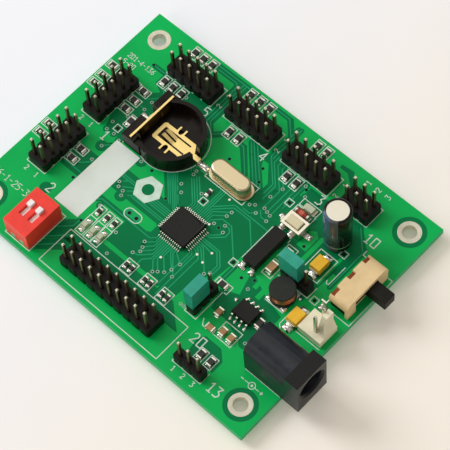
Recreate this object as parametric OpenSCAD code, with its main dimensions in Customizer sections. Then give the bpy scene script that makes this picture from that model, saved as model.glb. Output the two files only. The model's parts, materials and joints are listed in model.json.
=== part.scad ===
// Microcontroller development board: a populated circuit board with port headers, a coin-cell
// holder, a supply corner, switches and jumpers.
// Millimetres. Z = 0 is the board's underside and the origin is the centre of its four
// mounting holes. X runs along the long edge, Y along the short edge.

/* [Board] */
// Board length along X
board_l = 80.6; // [80.4:0.1:82]
// Board width along Y
board_w = 60.9; // [60.8:0.1:62]
// Board thickness
board_t = 1.6; // [1.5:0.1:1.7]
// Mounting hole spacing along X
hole_span_x = 71.1; // [70.8:0.1:71.4]
// Mounting hole spacing along Y
hole_span_y = 50.8; // [50.6:0.1:51]
// Mounting hole diameter
mount_hole_d = 3.2; // [3:0.1:3.4]

/* [Pin headers] */
// Pin pitch
pitch = 2.54; // [2.54]
// Width of a square pin
pin_w = 0.64; // [0.6:0.02:0.66]
// Height of a header's plastic strip
header_h = 2.54; // [2.3:0.01:2.6]
// Height of the pin tips above the board
pin_h = 8.5; // [8:0.1:9]
// Length of the soldered tails below the board
tail_l = 1.5; // [1.2:0.1:1.8]

/* [Coin-cell holder] */
// Outer radius of the cup
cup_r = 7.5; // [7.3:0.1:7.6]
// Height of the cup above the board
cup_h = 4.5; // [4.2:0.1:4.8]
// Wall of the cup
cup_wall = 0.9; // [0.7:0.1:1.1]

/* [Switches] */
// Travel of a DIP switch actuator
dip_travel = 2; // [1.8:0.1:2.1]
// Travel of the slide switch lever
lever_travel = 3.5; // [3:0.1:3.6]
// Length of the lever outside its housing
lever_l = 4.5; // [4:0.1:6]
// Travel of the reset button
button_travel = 0.25; // [0.2:0.01:0.3]

/* [Tall parts] */
// Diameter of the electrolytic capacitor
can_d = 6; // [5.8:0.1:6.3]
// Height of the electrolytic capacitor above the board
can_h = 12.8; // [11.5:0.1:13]
// Height of the supply jack's front block
jack_h = 11; // [10.8:0.1:11.2]
// Width of the supply jack
jack_w = 8.4; // [8.2:0.1:8.8]
// Bore of the supply jack
jack_bore_d = 6.3; // [6.2:0.1:6.4]
// Centre pin of the supply jack
jack_pin_d = 2; // [2:0.1:2.5]

/* [Hidden] */
$fn = 48;

top = board_t;               // the board's upper face
tail_z = -tail_l;            // the ends of every soldered tail
eps = 0.01;                  // overshoot of a cut
slip = 0.05;                 // clearance of a sliding fit

// Header places: [corner pin X, corner pin Y, pins along X, pins along Y]
port_1 = [-34.25, 2.96, 2, 5];
port_2 = [-34.25, -13.16, 2, 5];
port_3 = [5.7, 21.7, 5, 2];
port_4 = [-10.6, 21.7, 5, 2];
port_5 = [-27.2, 21.5, 5, 2];
power = [21.8, 21.65, 3, 2];
debug = [-11.94, -26.04, 10, 2];
serial = [20.3, -26.2, 3, 1];
jumper_1 = [14.5, -16.4, 1, 3];
jumper_2 = [23.35, 1.85, 3, 1];
ports = [port_1, port_2, port_3, port_4, port_5];
headers = [port_1, port_2, port_3, port_4, port_5, power, debug, serial, jumper_1, jumper_2];

function pins_of(h) = [for (i = [0:h[2] - 1], j = [0:h[3] - 1]) [h[0] + i * pitch, h[1] + j * pitch]];

// ---- the board ---------------------------------------------------------------------------

header_hole_r = 0.5;
jack_hole_r = 0.8;
small_hole_r = 0.45;

mount_holes = [for (sx = [-1, 1], sy = [-1, 1]) [sx * hole_span_x / 2, sy * hole_span_y / 2]];

module holes_at(points, r) {
    for (p = points) translate([p[0], p[1], -eps]) cylinder(r = r, h = board_t + 2 * eps);
}

module circuit_board() {
    color("seagreen") difference() {
        translate([-board_l / 2, -board_w / 2, 0]) cube([board_l, board_w, board_t]);
        holes_at(mount_holes, mount_hole_d / 2);
        for (h = headers) holes_at(pins_of(h), header_hole_r);
        holes_at(jack_tails, jack_hole_r);
        holes_at(concat(crystal_tails, can_tails, dip_tails, slide_tails, battery_tails),
            small_hole_r);
    }
}

// ---- pin headers -------------------------------------------------------------------------

header_bevel = 0.42;         // corner bevel between two positions of a strip
tip_bevel = 0.2;             // bevel of a pin's end

// Rectangle w by d about the origin with its corners cut off
module bevelled_rect(w, d, c) {
    polygon([[-w / 2 + c, -d / 2], [w / 2 - c, -d / 2], [w / 2, -d / 2 + c], [w / 2, d / 2 - c],
        [w / 2 - c, d / 2], [-w / 2 + c, d / 2], [-w / 2, d / 2 - c], [-w / 2, -d / 2 + c]]);
}

// Square post with bevelled ends, from z0 to z1
module post(w, z0, z1) {
    module side() {
        translate([0, w / 2, 0]) rotate([90, 0, 0]) linear_extrude(w)
            polygon([[-w / 2 + tip_bevel, z0], [w / 2 - tip_bevel, z0], [w / 2, z0 + tip_bevel * 1.5],
                [w / 2, z1 - tip_bevel * 1.5], [w / 2 - tip_bevel, z1], [-w / 2 + tip_bevel, z1],
                [-w / 2, z1 - tip_bevel * 1.5], [-w / 2, z0 + tip_bevel * 1.5]]);
    }
    intersection() {
        side();
        rotate([0, 0, 90]) side();
    }
}

module pins(points, tip) {
    for (p = points) translate([p[0], p[1], 0]) post(pin_w, tail_z, tip);
}

// A strip is a run of bevelled cells across its longer direction
module strip(h) {
    along_x = h[2] >= h[3];
    count = along_x ? h[2] : h[3];
    rows = along_x ? h[3] : h[2];
    difference() {
        for (i = [0:count - 1])
            translate([h[0] + (along_x ? i : (rows - 1) / 2) * pitch,
                h[1] + (along_x ? (rows - 1) / 2 : i) * pitch, top])
                linear_extrude(header_h)
                    bevelled_rect((along_x ? 1 : rows) * pitch, (along_x ? rows : 1) * pitch, header_bevel);
        for (p = pins_of(h))
            translate([p[0] - pin_w / 2, p[1] - pin_w / 2, top - eps])
                cube([pin_w, pin_w, header_h + 2 * eps]);
    }
}

module header_base(h) { color("#1b1a19") strip(h); }
module header_pins(list, tip) { color("#c9b98a") for (h = list) pins(pins_of(h), tip); }

module port_1_header_base() { header_base(port_1); }
module port_2_header_base() { header_base(port_2); }
module port_3_header_base() { header_base(port_3); }
module port_4_header_base() { header_base(port_4); }
module port_5_header_base() { header_base(port_5); }
module port_header_pins() { header_pins(ports, top + pin_h); }
module power_header_base() { header_base(power); }
module power_header_pins() { header_pins([power], top + pin_h); }
module debug_header_base() { header_base(debug); }
module debug_header_pins() { header_pins([debug], top + pin_h); }
module serial_header_base() { header_base(serial); }
module serial_header_pins() { header_pins([serial], top + pin_h); }

// ---- jumpers and their shunts ------------------------------------------------------------

shunt_l = 4.98;
shunt_w = 2.46;
shunt_z0 = top + header_h + 0.1;
shunt_h = 6.3;
shunt_skin = 0.25;           // closed top of the shunt
shunt_cavity_l = 4.2;
shunt_cavity_w = 1.5;
clip_t = 0.15;               // contact strip thickness
clip_gap = 0.02;             // play between the contact strip and the pin
jumper_tip = shunt_z0 + shunt_h - shunt_skin - clip_t - 0.2;

module jumper_header_bases() {
    header_base(jumper_1);
    header_base(jumper_2);
}
module jumper_header_pins() { header_pins([jumper_1, jumper_2], jumper_tip); }

module shunt() {
    color("#3aa08a") difference() {
        translate([-shunt_l / 2, -shunt_w / 2, shunt_z0]) cube([shunt_l, shunt_w, shunt_h]);
        translate([-shunt_cavity_l / 2, -shunt_cavity_w / 2, shunt_z0 - eps])
            cube([shunt_cavity_l, shunt_cavity_w, shunt_h - shunt_skin + eps]);
        // finger step along both long sides
        for (s = [-1, 1])
            translate([-shunt_l / 2 - eps, s * shunt_w / 2 - 0.2, shunt_z0 - eps])
                cube([shunt_l + 2 * eps, 0.4, 1.4]);
    }
}

// Folded strip: a leaf on each side of the pins, joined over their tips
module shunt_contact() {
    leaf_l = 3.8;
    leaf_h = 4.9;
    z1 = shunt_z0 + shunt_h - shunt_skin;
    color("#c9b98a") {
        for (s = [-1, 1])
            translate([-leaf_l / 2, s * (pin_w / 2 + clip_gap + clip_t / 2) - clip_t / 2, z1 - leaf_h])
                cube([leaf_l, clip_t, leaf_h]);
        translate([-leaf_l / 2, -shunt_cavity_w / 2, z1 - clip_t])
            cube([leaf_l, shunt_cavity_w, clip_t]);
    }
}

module at_jumper_1() { translate([jumper_1[0], jumper_1[1] + pitch / 2, 0]) rotate([0, 0, 90]) children(); }
module at_jumper_2() { translate([jumper_2[0] + pitch / 2, jumper_2[1], 0]) children(); }
module jumper_shunt_1() { at_jumper_1() shunt(); }
module jumper_shunt_2() { at_jumper_2() shunt(); }
module jumper_contact_1() { at_jumper_1() shunt_contact(); }
module jumper_contact_2() { at_jumper_2() shunt_contact(); }

// ---- coin-cell holder --------------------------------------------------------------------

cup = [-15.8, 9.05];
cup_floor = 1.2;             // floor thickness above the board
block_x0 = -23.3;            // outer face of the straight block
block_x1 = -18.5;            // the block ends inside the cup
block_y = [1.8, 15.9];
strip_x = -21.45;            // outer face of the side contact
strip_t = 0.55;
strip_y = [2.2, 15.4];
strip_z0 = top + 0.6;
notch_y = [7.6, 11];         // gap in the block behind the strip
foot_y = 9.4;                // middle of the side contact's foot
foot_w = 0.7;
foot_t = 0.3;
foot_out = 1.9;              // length of the foot outside the block
plate_t = 0.25;              // floor contact thickness
plate_z = top + cup_floor;
plate_y = 8.7;               // middle of the floor contact
tail_half = 0.55;            // half width of the floor contact's tail
lug_x1 = -5.7;               // end of the soldered lug

module coin_cell_holder_body() {
    cup_in = cup_r - cup_wall;
    color("#211c1a") difference() {
        union() {
            translate([cup[0], cup[1], top]) cylinder(r = cup_r, h = cup_h);
            translate([block_x0, block_y[0], top])
                cube([block_x1 - block_x0, block_y[1] - block_y[0], cup_h - 0.4]);
        }
        // the cell's seat, flat on the side of the straight contact
        intersection() {
            translate([cup[0], cup[1], plate_z]) cylinder(r = cup_in, h = cup_h);
            translate([strip_x + strip_t, cup[1] - cup_r, plate_z]) cube([2 * cup_r, 2 * cup_r, cup_h]);
        }
        // slot for the side contact
        translate([strip_x, strip_y[0], strip_z0]) cube([strip_t, strip_y[1] - strip_y[0], cup_h + eps]);
        translate([strip_x, strip_y[0] + 1.7, plate_z]) cube([2.2, strip_y[1] - strip_y[0] - 3.1, cup_h + eps]);
        // gap in the block behind the strip
        translate([block_x0 - eps, notch_y[0], top - eps])
            cube([strip_x - block_x0 + 2 * eps, notch_y[1] - notch_y[0], cup_h + 1]);
        // wall a little lower beside the block
        translate([cup[0] - 4.2, cup[1] - cup_r - eps, top + cup_h - 0.8]) cube([3.6, 1.8, cup_h]);
        // way out for the floor contact's tail
        translate([cup[0] + cup_in - 1, plate_y - tail_half, top - eps])
            cube([3, 2 * tail_half, cup_floor + 0.9]);
        translate([cup[0] + cup_in - 1, plate_y - 0.95, plate_z]) cube([3, 1.9, cup_h]);
        // groove for the side contact's strap
        translate([strip_x - eps, foot_y - foot_w / 2 - slip, top - eps])
            cube([strip_t + slip + eps, foot_w + 2 * slip, 1]);
        // relief under the floor contact's lugs
        for (s = [-1, 1]) translate([cup[0] + 0.55, plate_y + s * 2.3, plate_z - 0.5])
            cylinder(r = 0.7, h = 0.5 + eps);
    }
}

module coin_cell_side_contact() {
    color("#d9b45c") {
        translate([strip_x, strip_y[0], strip_z0])
            cube([strip_t, strip_y[1] - strip_y[0], top + cup_h - strip_z0]);
        // two sprung bulges that press the cell's edge
        for (s = [-1, 1]) translate([0, cup[1] + s * 3, 0]) rotate([90, 0, 0])
            linear_extrude(1.8, center = true)
                polygon([[strip_x + strip_t, plate_z + 0.2], [strip_x + strip_t + 0.45, plate_z + 1.2],
                    [strip_x + strip_t + 0.45, plate_z + 2], [strip_x + strip_t, top + cup_h - 0.3]]);
        // strap down to the soldered foot
        translate([strip_x, foot_y - foot_w / 2, top]) cube([strip_t, foot_w, strip_z0 - top]);
        translate([block_x0 - foot_out, foot_y - foot_w / 2, top])
            cube([strip_x + strip_t - block_x0 + foot_out, foot_w, foot_t]);
    }
}

// Floor contact: a slotted spring plate with two raised tongues, side lugs and a tail to the board
module coin_cell_floor_contact() {
    x0 = -19.5;              // the plate's closed end
    x1 = -10.7;              // where the plate starts to taper
    half = 2.3;
    frame_w = 0.9;           // width of the frame round the slots
    slot_w = 0.38;
    root_x = -14.4;          // where the tongues leave the plate
    tip_x = -17.6;
    tip_z = plate_z + 1.35;
    tail_x = cup[0] + cup_r - cup_wall - 0.3;
    lug_x0 = tail_x + 1.6;
    color("#e0bd62") translate([0, plate_y, 0]) {
        difference() {
            translate([0, 0, plate_z]) linear_extrude(plate_t)
                polygon([[x0, -half + 0.4], [x0 + 0.4, -half], [x1, -half], [tail_x - 0.9, -tail_half],
                    [lug_x0, -tail_half], [lug_x0, tail_half], [tail_x, tail_half], [x1, half],
                    [x0 + 0.4, half], [x0, half - 0.4]]);
            // window behind the tongues, and the slots beside and between them
            translate([x0 + frame_w, -1.4, plate_z - eps]) cube([root_x - x0 - frame_w - 0.2, 2.8, 1]);
            for (y = [-1.4, 1.4 - slot_w])
                translate([x0 + frame_w, y, plate_z - eps]) cube([7.4, slot_w, 1]);
            translate([root_x - 0.5, -slot_w / 2, plate_z - eps]) cube([0.5, slot_w, 1]);
            for (s = [-1, 1]) translate([cup[0] + 0.55, s * half, plate_z - eps]) cylinder(r = 0.52, h = 1);
        }
        // tongues that rise to touch the cell
        for (s = [-1, 1]) translate([0, s * 0.61 + 0.4, 0]) rotate([90, 0, 0]) linear_extrude(0.8)
            polygon([[root_x, plate_z], [root_x, plate_z + plate_t], [root_x - 0.5, plate_z + plate_t + 0.1],
                [tip_x + 0.4, tip_z], [tip_x, tip_z - 0.25], [tip_x + 0.15, tip_z - 0.4],
                [tip_x + 0.5, tip_z - plate_t], [root_x - 0.5, plate_z]]);
        // side lugs
        for (s = [-1, 1], x = [-0.45, 1.15])
            translate([cup[0] + x, s * (half + 0.4) - 0.8, plate_z]) cube([0.42, 1.6, plate_t]);
        // drop to the board and soldered lug
        translate([lug_x0, -tail_half, top]) cube([plate_t, 2 * tail_half, cup_floor + plate_t]);
        translate([lug_x0, -tail_half - 0.15, top]) cube([lug_x1 - lug_x0, 2 * tail_half + 0.3, 0.3]);
    }
}

// ---- main crystal ------------------------------------------------------------------------

crystal = [0.4, 9.85];
crystal_h = 3.5;
crystal_tails = [for (s = [-1, 1]) [crystal[0] + s * 2.44, crystal[1]]];

// Bar with round ends, length l over all
module stadium(l, w, h) {
    translate([-(l - w) / 2, -w / 2, 0]) cube([l - w, w, h]);
    for (s = [-1, 1]) translate([s * (l - w) / 2, 0, 0]) cylinder(d = w, h = h);
}

module crystal_can() {
    color("#cfc3a6") translate([crystal[0], crystal[1], top + 0.55]) stadium(10, 3.8, crystal_h - 0.55);
}
module crystal_base() {
    color("#d8d0bd") {
        translate([crystal[0], crystal[1], top + 0.1]) stadium(11.3, 4.65, 0.45);
        for (p = crystal_tails) translate([p[0], p[1], tail_z]) cylinder(r = 0.22, h = top + 0.1 - tail_z);
    }
}

// ---- leaded packages ---------------------------------------------------------------------

// Moulded body: two prisms cross, so all four sides slope to a parting line
module moulded(l, w, h, parting, draft) {
    module wedge(a, b) {
        translate([0, b / 2, 0]) rotate([90, 0, 0]) linear_extrude(b)
            polygon([[-a / 2 + draft, 0], [a / 2 - draft, 0], [a / 2, parting], [a / 2 - draft, h],
                [-a / 2 + draft, h], [-a / 2, parting]]);
    }
    intersection() {
        wedge(l, w);
        rotate([0, 0, 90]) wedge(w, l);
    }
}

// Gull-wing lead leaving the body along +X at its own origin
module gull_lead(reach, exit_z, w, t, foot) {
    translate([0, w / 2, 0]) rotate([90, 0, 0]) linear_extrude(w)
        polygon([[0, exit_z], [0, exit_z - t], [reach - foot - 0.35, exit_z - t], [reach - foot - 0.1, 0],
            [reach, 0], [reach, t], [reach - foot + 0.1, t], [reach - foot - 0.15, exit_z]]);
}

mcu = [0.4, -4.8];
mcu_side = 7;
mcu_pitch = 0.5;
mcu_row = 12;
mcu_exit = 0.85;

module mcu_body() {
    color("#23211f") translate([mcu[0], mcu[1], top + 0.1]) difference() {
        moulded(mcu_side, mcu_side, 1.4, 0.65, 0.15);
        // pin-one dimple
        translate([2.75, 2.75, 1.33]) cylinder(r = 0.35, h = 0.2);
    }
}
module mcu_leads() {
    color("#cfd0cc") translate([mcu[0], mcu[1], top])
        for (side = [0:3], i = [0:mcu_row - 1]) rotate([0, 0, side * 90])
            translate([mcu_side / 2, (i - (mcu_row - 1) / 2) * mcu_pitch, 0])
                gull_lead(1, mcu_exit, 0.22, 0.15, 0.5);
}

regulator = [23.2, -10.3];
regulator_l = 4.9;
regulator_w = 3.9;
module regulator_body() {
    color("#201e1d") translate([regulator[0], regulator[1], top + 0.15])
        moulded(regulator_l, regulator_w, 1.45, 0.75, 0.17);
}
module regulator_leads() {
    color("#cfd0cc") translate([regulator[0], regulator[1], top])
        for (s = [0, 1], i = [0:3]) rotate([0, 0, 90 + 180 * s])
            translate([regulator_w / 2, (i - 1.5) * 1.27, 0]) gull_lead(1.05, 1, 0.42, 0.2, 0.55);
}

// 32 kHz crystal in a long moulded package, four leads tucked against its ends
watch = [16.45, 2.75];
watch_l = 10.2;
watch_w = 3.5;
watch_h = 2.2;
module watch_crystal_body() {
    color("#1d1b1a") translate([watch[0], watch[1], top + 0.1]) rotate([0, 0, 90])
        moulded(watch_l, watch_w, watch_h, 0.9, 0.12);
}
module watch_crystal_leads() {
    color("#dcdcd6") translate([watch[0], watch[1], top])
        for (s = [0, 1], x = [-1.2, 1.2]) rotate([0, 0, 90 + 180 * s])
            translate([watch_l / 2, x, 0]) gull_lead(0.85, 1.1, 1.1, 0.25, 0.4);
}

// ---- supply parts ------------------------------------------------------------------------

coil = [26.0, -2.5];
coil_r = 2.8;
coil_h = 3.8;
coil_flange = 0.9;           // lower flange
coil_cap = 0.5;              // upper flange
coil_neck_r = 1.2;
coil_z = top + 0.25;

module inductor_core() {
    color("#2b2a28") translate([coil[0], coil[1], coil_z]) {
        cylinder(r = coil_r, h = coil_flange);
        cylinder(r = coil_neck_r, h = coil_h - 0.25);
        translate([0, 0, coil_h - 0.25 - coil_cap]) cylinder(r = coil_r, h = coil_cap);
    }
}
module inductor_winding() {
    color("#a85a2e") translate([coil[0], coil[1], coil_z + coil_flange]) difference() {
        cylinder(r = coil_r - 0.06, h = coil_h - 0.25 - coil_flange - coil_cap);
        translate([0, 0, -eps]) cylinder(r = coil_neck_r, h = coil_h);
    }
}
module inductor_terminals() {
    color("#dcdcd6") for (s = [-1, 1])
        translate([coil[0] - 2.45, coil[1] + s * 2.05 - 0.65, top]) cube([4.9, 1.3, 0.25]);
}

can = [25.78, 14.34];
can_r = can_d / 2;
sleeve_t = 0.12;
can_tails = [for (s = [-1, 1]) [can[0] + s * 1.25, can[1]]];
module electrolytic_can() {
    bead_z = 1.6;            // rolled groove above the seal
    body_r = can_r - sleeve_t;
    color("#c9c6bf") translate([can[0], can[1], top + 0.3]) rotate_extrude()
        polygon([[0, 0.5], [body_r - 0.35, 0.5], [body_r - 0.35, 0], [body_r, 0], [body_r, bead_z - 0.35],
            [body_r - 0.22, bead_z], [body_r, bead_z + 0.35], [body_r, can_h - 0.85],
            [body_r - 0.4, can_h - 0.4], [0, can_h - 0.4]]);
}
module electrolytic_sleeve() {
    color("#23272f") translate([can[0], can[1], top + 0.35]) rotate_extrude()
        polygon([[can_r - sleeve_t, 0], [can_r, 0], [can_r, can_h - 0.85], [can_r - 0.45, can_h - 0.4],
            [can_r - 0.75, can_h - 0.35], [can_r - 0.75, can_h - 0.45], [can_r - sleeve_t - 0.4, can_h - 0.45],
            [can_r - sleeve_t, can_h - 0.9]]);
}
module electrolytic_leads() {
    color("#cfd0cc") for (p = can_tails) translate([p[0], p[1], tail_z])
        cylinder(r = 0.25, h = top + 0.8 - tail_z);
}

// Tantalum chips: [X, Y], long side along Y
tantalums = [[27.1, 7.3], [31.4, -4.5]];
tantalum_l = 3.4;
tantalum_w = 2.8;
tantalum_h = 2;
module tantalum_bodies() {
    color("#efa92c") for (p = tantalums) translate([p[0], p[1], top + 0.1]) rotate([0, 0, 90])
        moulded(tantalum_l, tantalum_w, tantalum_h, 0.9, 0.12);
}
module tantalum_terminals() {
    color("#e4e3dd") for (p = tantalums, s = [0, 1]) translate([p[0], p[1], top]) rotate([0, 0, 90 + 180 * s])
        translate([tantalum_l / 2, 0, 0]) gull_lead(0.75, 1.1, 2.2, 0.25, 0.35);
}

// ---- chip parts --------------------------------------------------------------------------

chip_cap_l = 0.38;           // length of a plated end
chip_t = 0.5;
// Chips: [X, Y, length, width, height, angle]
small = [2, 1.2, 0.5];
header_side_x = [for (p = [[-28.9, 13.6], [-28.9, 10.7], [-28.9, 8.1], [-28.9, -5.3], [-28.9, -8.1],
    [-38.4, 14], [-38.4, 10.8], [-38.4, 8.3], [-38.4, -5.4], [-38.4, -8.1]])
    [p[0], p[1], small[0], small[1], small[2], 0]];
header_side_y = [for (p = [[-27.2, 18.45], [-24.8, 18.45], [-22.3, 18.45], [-27.2, 28.1], [-24.8, 28.1],
    [-22.3, 28.1], [-8.2, 18.5], [-5.6, 18.5], [-11, 28.1], [-8.3, 28.1], [-5.7, 28.1], [8.1, 18.5],
    [10.7, 18.5], [8.1, 28.1], [10.6, 28.1], [22.5, -22.7], [25.1, -22.7]])
    [p[0], p[1], small[0], small[1], small[2], 90]];
debug_pulls = [for (x = [-2.6, -1.2, 2.6, 4, 7.4, 8.8]) [x, -18.4, 1.7, 0.85, 0.45, 90]];
led_pulls = [for (x = [-15.4, -13.1, -11]) [x, -13.4, 1.7, 0.9, 0.45, 90]];
resistors = concat(header_side_x, header_side_y, debug_pulls, led_pulls,
    [[15.2, -8.7, 2.2, 1.25, 0.55, 0],
    [-25.7, 6.5, 2.2, 1.25, 0.5, 90], [26.6, -10.1, 2.2, 1.25, 0.55, 90],
    [-1.45, 4.9, 1.7, 0.85, 0.45, 90]]);
capacitors = [[22.5, -16.4, 2, 1.3, 0.9, 90], [24.7, -16.4, 2, 1.3, 0.9, 90],
    [20.1, 0.7, 2.6, 1.6, 1, 90], [20.4, 5, 2.4, 1.5, 0.9, 90], [18.9, -13.7, 2, 1.25, 0.8, 90],
    [19.9, -17.4, 2, 1.25, 0.8, 0]];

module chip_body(c) {
    translate([c[0], c[1], top]) rotate([0, 0, c[5]])
        translate([-c[2] / 2 + chip_cap_l, -c[3] / 2, 0]) cube([c[2] - 2 * chip_cap_l, c[3], c[4]]);
}
module chip_caps(c) {
    skin = 0.03;             // plating stands proud of the ceramic
    translate([c[0], c[1], top]) rotate([0, 0, c[5]]) for (s = [-1, 1])
        translate([s * (c[2] - chip_cap_l) / 2 - chip_cap_l / 2, -c[3] / 2 - skin, 0])
            cube([chip_cap_l, c[3] + 2 * skin, c[4] + skin]);
}
module chip_resistor_bodies() { color("#2c2a2a") for (c = resistors) chip_body(c); }
module chip_capacitor_bodies() { color("#a8906a") for (c = capacitors) chip_body(c); }
module chip_end_caps() {
    color("#d6d2c8") {
        for (c = concat(resistors, capacitors)) chip_caps(c);
        diode_caps();
    }
}

// Indicator LEDs: [X, Y, length, width, angle]
leds = [[-15.4, -17.5, 2, 1.25, 90], [-13.1, -17.5, 2, 1.25, 90], [-11, -17.5, 2, 1.25, 90],
    [17, 15.75, 3.2, 1.6, 0]];
led_base_h = 0.35;
module led_bases() {
    color("#e9ead9") for (d = leds) translate([d[0], d[1], top]) rotate([0, 0, d[4]])
        translate([-d[2] / 2, -d[3] / 2, 0]) cube([d[2], d[3], led_base_h]);
}
module led_lenses() {
    color("#e6f2dc") for (d = leds) translate([d[0], d[1], top + led_base_h]) rotate([0, 0, d[4]])
        moulded(d[2] * 0.66, d[3], 0.5, 0.05, 0.08);
}

// Glass diode lying along X
diode = [16.65, 13.8];
diode_l = 3.5;
diode_d = 1.5;
diode_cap = 0.5;             // length of each end cap
module glass_diode_body() {
    color("#c8503c") translate([diode[0] - diode_l / 2 + diode_cap, diode[1], top + diode_d / 2])
        rotate([0, 90, 0]) cylinder(d = diode_d - 0.15, h = diode_l - 2 * diode_cap);
}
module diode_caps() {
    for (s = [0, 1])
        translate([diode[0] - diode_l / 2 + s * (diode_l - diode_cap), diode[1], top + diode_d / 2]) rotate([0, 90, 0]) cylinder(d = diode_d, h = diode_cap);
}

// ---- DIP switch --------------------------------------------------------------------------

dip_x = [-26.72, -20.06];
dip_y = [-29.26, -19.38];
dip_h = 5.5;
dip_mid = [(dip_x[0] + dip_x[1]) / 2, (dip_y[0] + dip_y[1]) / 2];
dip_ways = [dip_mid[0] - pitch / 2, dip_mid[0] + pitch / 2];
dip_tails = [for (x = dip_ways, s = [-1, 1]) [x, dip_mid[1] + s * 3.81]];
way_half = 0.65;             // half width of an actuator's slot
slot_y = [-26.1, -22.3];     // open part of the slot
track_y = [-28.6, -22.1];    // the longer track under the cover
cover_t = 0.7;
track_h = 2;
dip_top = top + dip_h;

module dip_switch_housing() {
    color("#e23a2c") difference() {
        translate([dip_x[0], dip_y[0], top]) cube([dip_x[1] - dip_x[0], dip_y[1] - dip_y[0], dip_h]);
        for (x = dip_ways) {
            translate([x - way_half, slot_y[0], dip_top - cover_t - eps])
                cube([2 * way_half, slot_y[1] - slot_y[0], cover_t + 2 * eps]);
            translate([x - way_half, track_y[0], dip_top - cover_t - track_h])
                cube([2 * way_half, track_y[1] - track_y[0], track_h]);
        }
        // pockets for the terminals in the two end faces, and grooves for them underneath
        for (x = dip_ways, s = [0, 1]) {
            translate([x - 0.55, s ? dip_y[1] - 0.3 : dip_y[0] - eps, top - eps]) cube([1.1, 0.3 + eps, 1.4]);
            translate([x - 0.3, s ? dip_mid[1] + 3.81 - 0.25 : dip_y[0] - eps, top - eps])
                cube([0.6, dip_y[1] - dip_mid[1] - 3.81 + 0.25 + eps, 0.25]);
        }
    }
}
module dip_switch_pins() {
    color("#cfd0cc") for (x = dip_ways, s = [0, 1]) {
        face = s ? dip_y[1] - 0.3 : dip_y[0];
        inner = dip_mid[1] + (s ? 1 : -1) * 3.81;
        translate([x - 0.55, face, top]) cube([1.1, 0.3, 1.35]);
        translate([x - 0.25, min(face, inner - 0.15), top]) cube([0.5, abs(face - inner) + 0.3, 0.2]);
        translate([x - 0.25, inner - 0.15, tail_z]) cube([0.5, 0.3, top - tail_z]);
    }
}
module dip_actuator(x) {
    foot_y = [track_y[1] - 0.1 - 3.95, track_y[1] - 0.1];
    knob_y = [slot_y[1] - 0.1 - 1.45, slot_y[1] - 0.1];
    z0 = dip_top - cover_t - track_h + slip;
    color("#f3eeea") {
        translate([x - way_half + slip, foot_y[0], z0])
            cube([2 * (way_half - slip), foot_y[1] - foot_y[0], track_h - 2 * slip]);
        translate([x - way_half + slip, knob_y[0], z0])
            cube([2 * (way_half - slip), knob_y[1] - knob_y[0], track_h + cover_t + 0.7]);
    }
}
module dip_actuator_1() { dip_actuator(dip_ways[0]); }
module dip_actuator_2() { dip_actuator(dip_ways[1]); }

// ---- reset button ------------------------------------------------------------------------

button = [17.4, 10.7];
button_l = 5.2;
button_w = 3.5;
button_h = 2.3;
cap_l = 3.4;
cap_w = 2;
module reset_button_frame() {
    color("#d4d0c6") translate([button[0], button[1], top]) difference() {
        translate([-button_l / 2, -button_w / 2, 0.1]) cube([button_l, button_w, button_h]);
        translate([-cap_l / 2 - 0.08, -cap_w / 2 - 0.08, 0.6]) cube([cap_l + 0.16, cap_w + 0.16, button_h]);
        translate([-cap_l / 2 - 0.5, -cap_w / 2 - 0.4, 0.6]) cube([cap_l + 1, cap_w + 0.8, 1.3]);
    }
}
module reset_button_plunger() {
    color("#d9cfae") translate([button[0], button[1], top + 0.6 + button_travel + 0.1]) {
        translate([-cap_l / 2, -cap_w / 2, 0]) cube([cap_l, cap_w, button_h - 0.05 - button_travel]);
        translate([-cap_l / 2 - 0.4, -cap_w / 2 - 0.3, 0]) cube([cap_l + 0.8, cap_w + 0.6, 0.5]);
    }
}
module reset_button_terminals() {
    color("#e4e3dd") for (s = [-1, 1])
        translate([button[0] + s * (button_l / 2 + 0.55) - 0.55, button[1] - 0.6, top]) cube([1.1, 1.2, 0.35]);
}

// ---- slide switch ------------------------------------------------------------------------

slide_x = [34.2, 39.1];
slide_y = [2.1, 14.5];
slide_h = 5.2;
slide_wall = 0.75;
slide_mid = (slide_y[0] + slide_y[1]) / 2;
slide_terms = [for (k = [-1, 0, 1]) slide_mid + k * 4.7];
slide_tails = [for (y = slide_terms) [slide_x[0] - 0.6, y]];
plate_x = slide_x[0] + 0.85; // inner face of the terminal plate
lever_w = 3;
lever_y = 9.8;               // lever centre at rest
slide_round = 1.5;           // radius over both ends of the housing
lever_z = [top + 1.15, top + 4.05];

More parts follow.
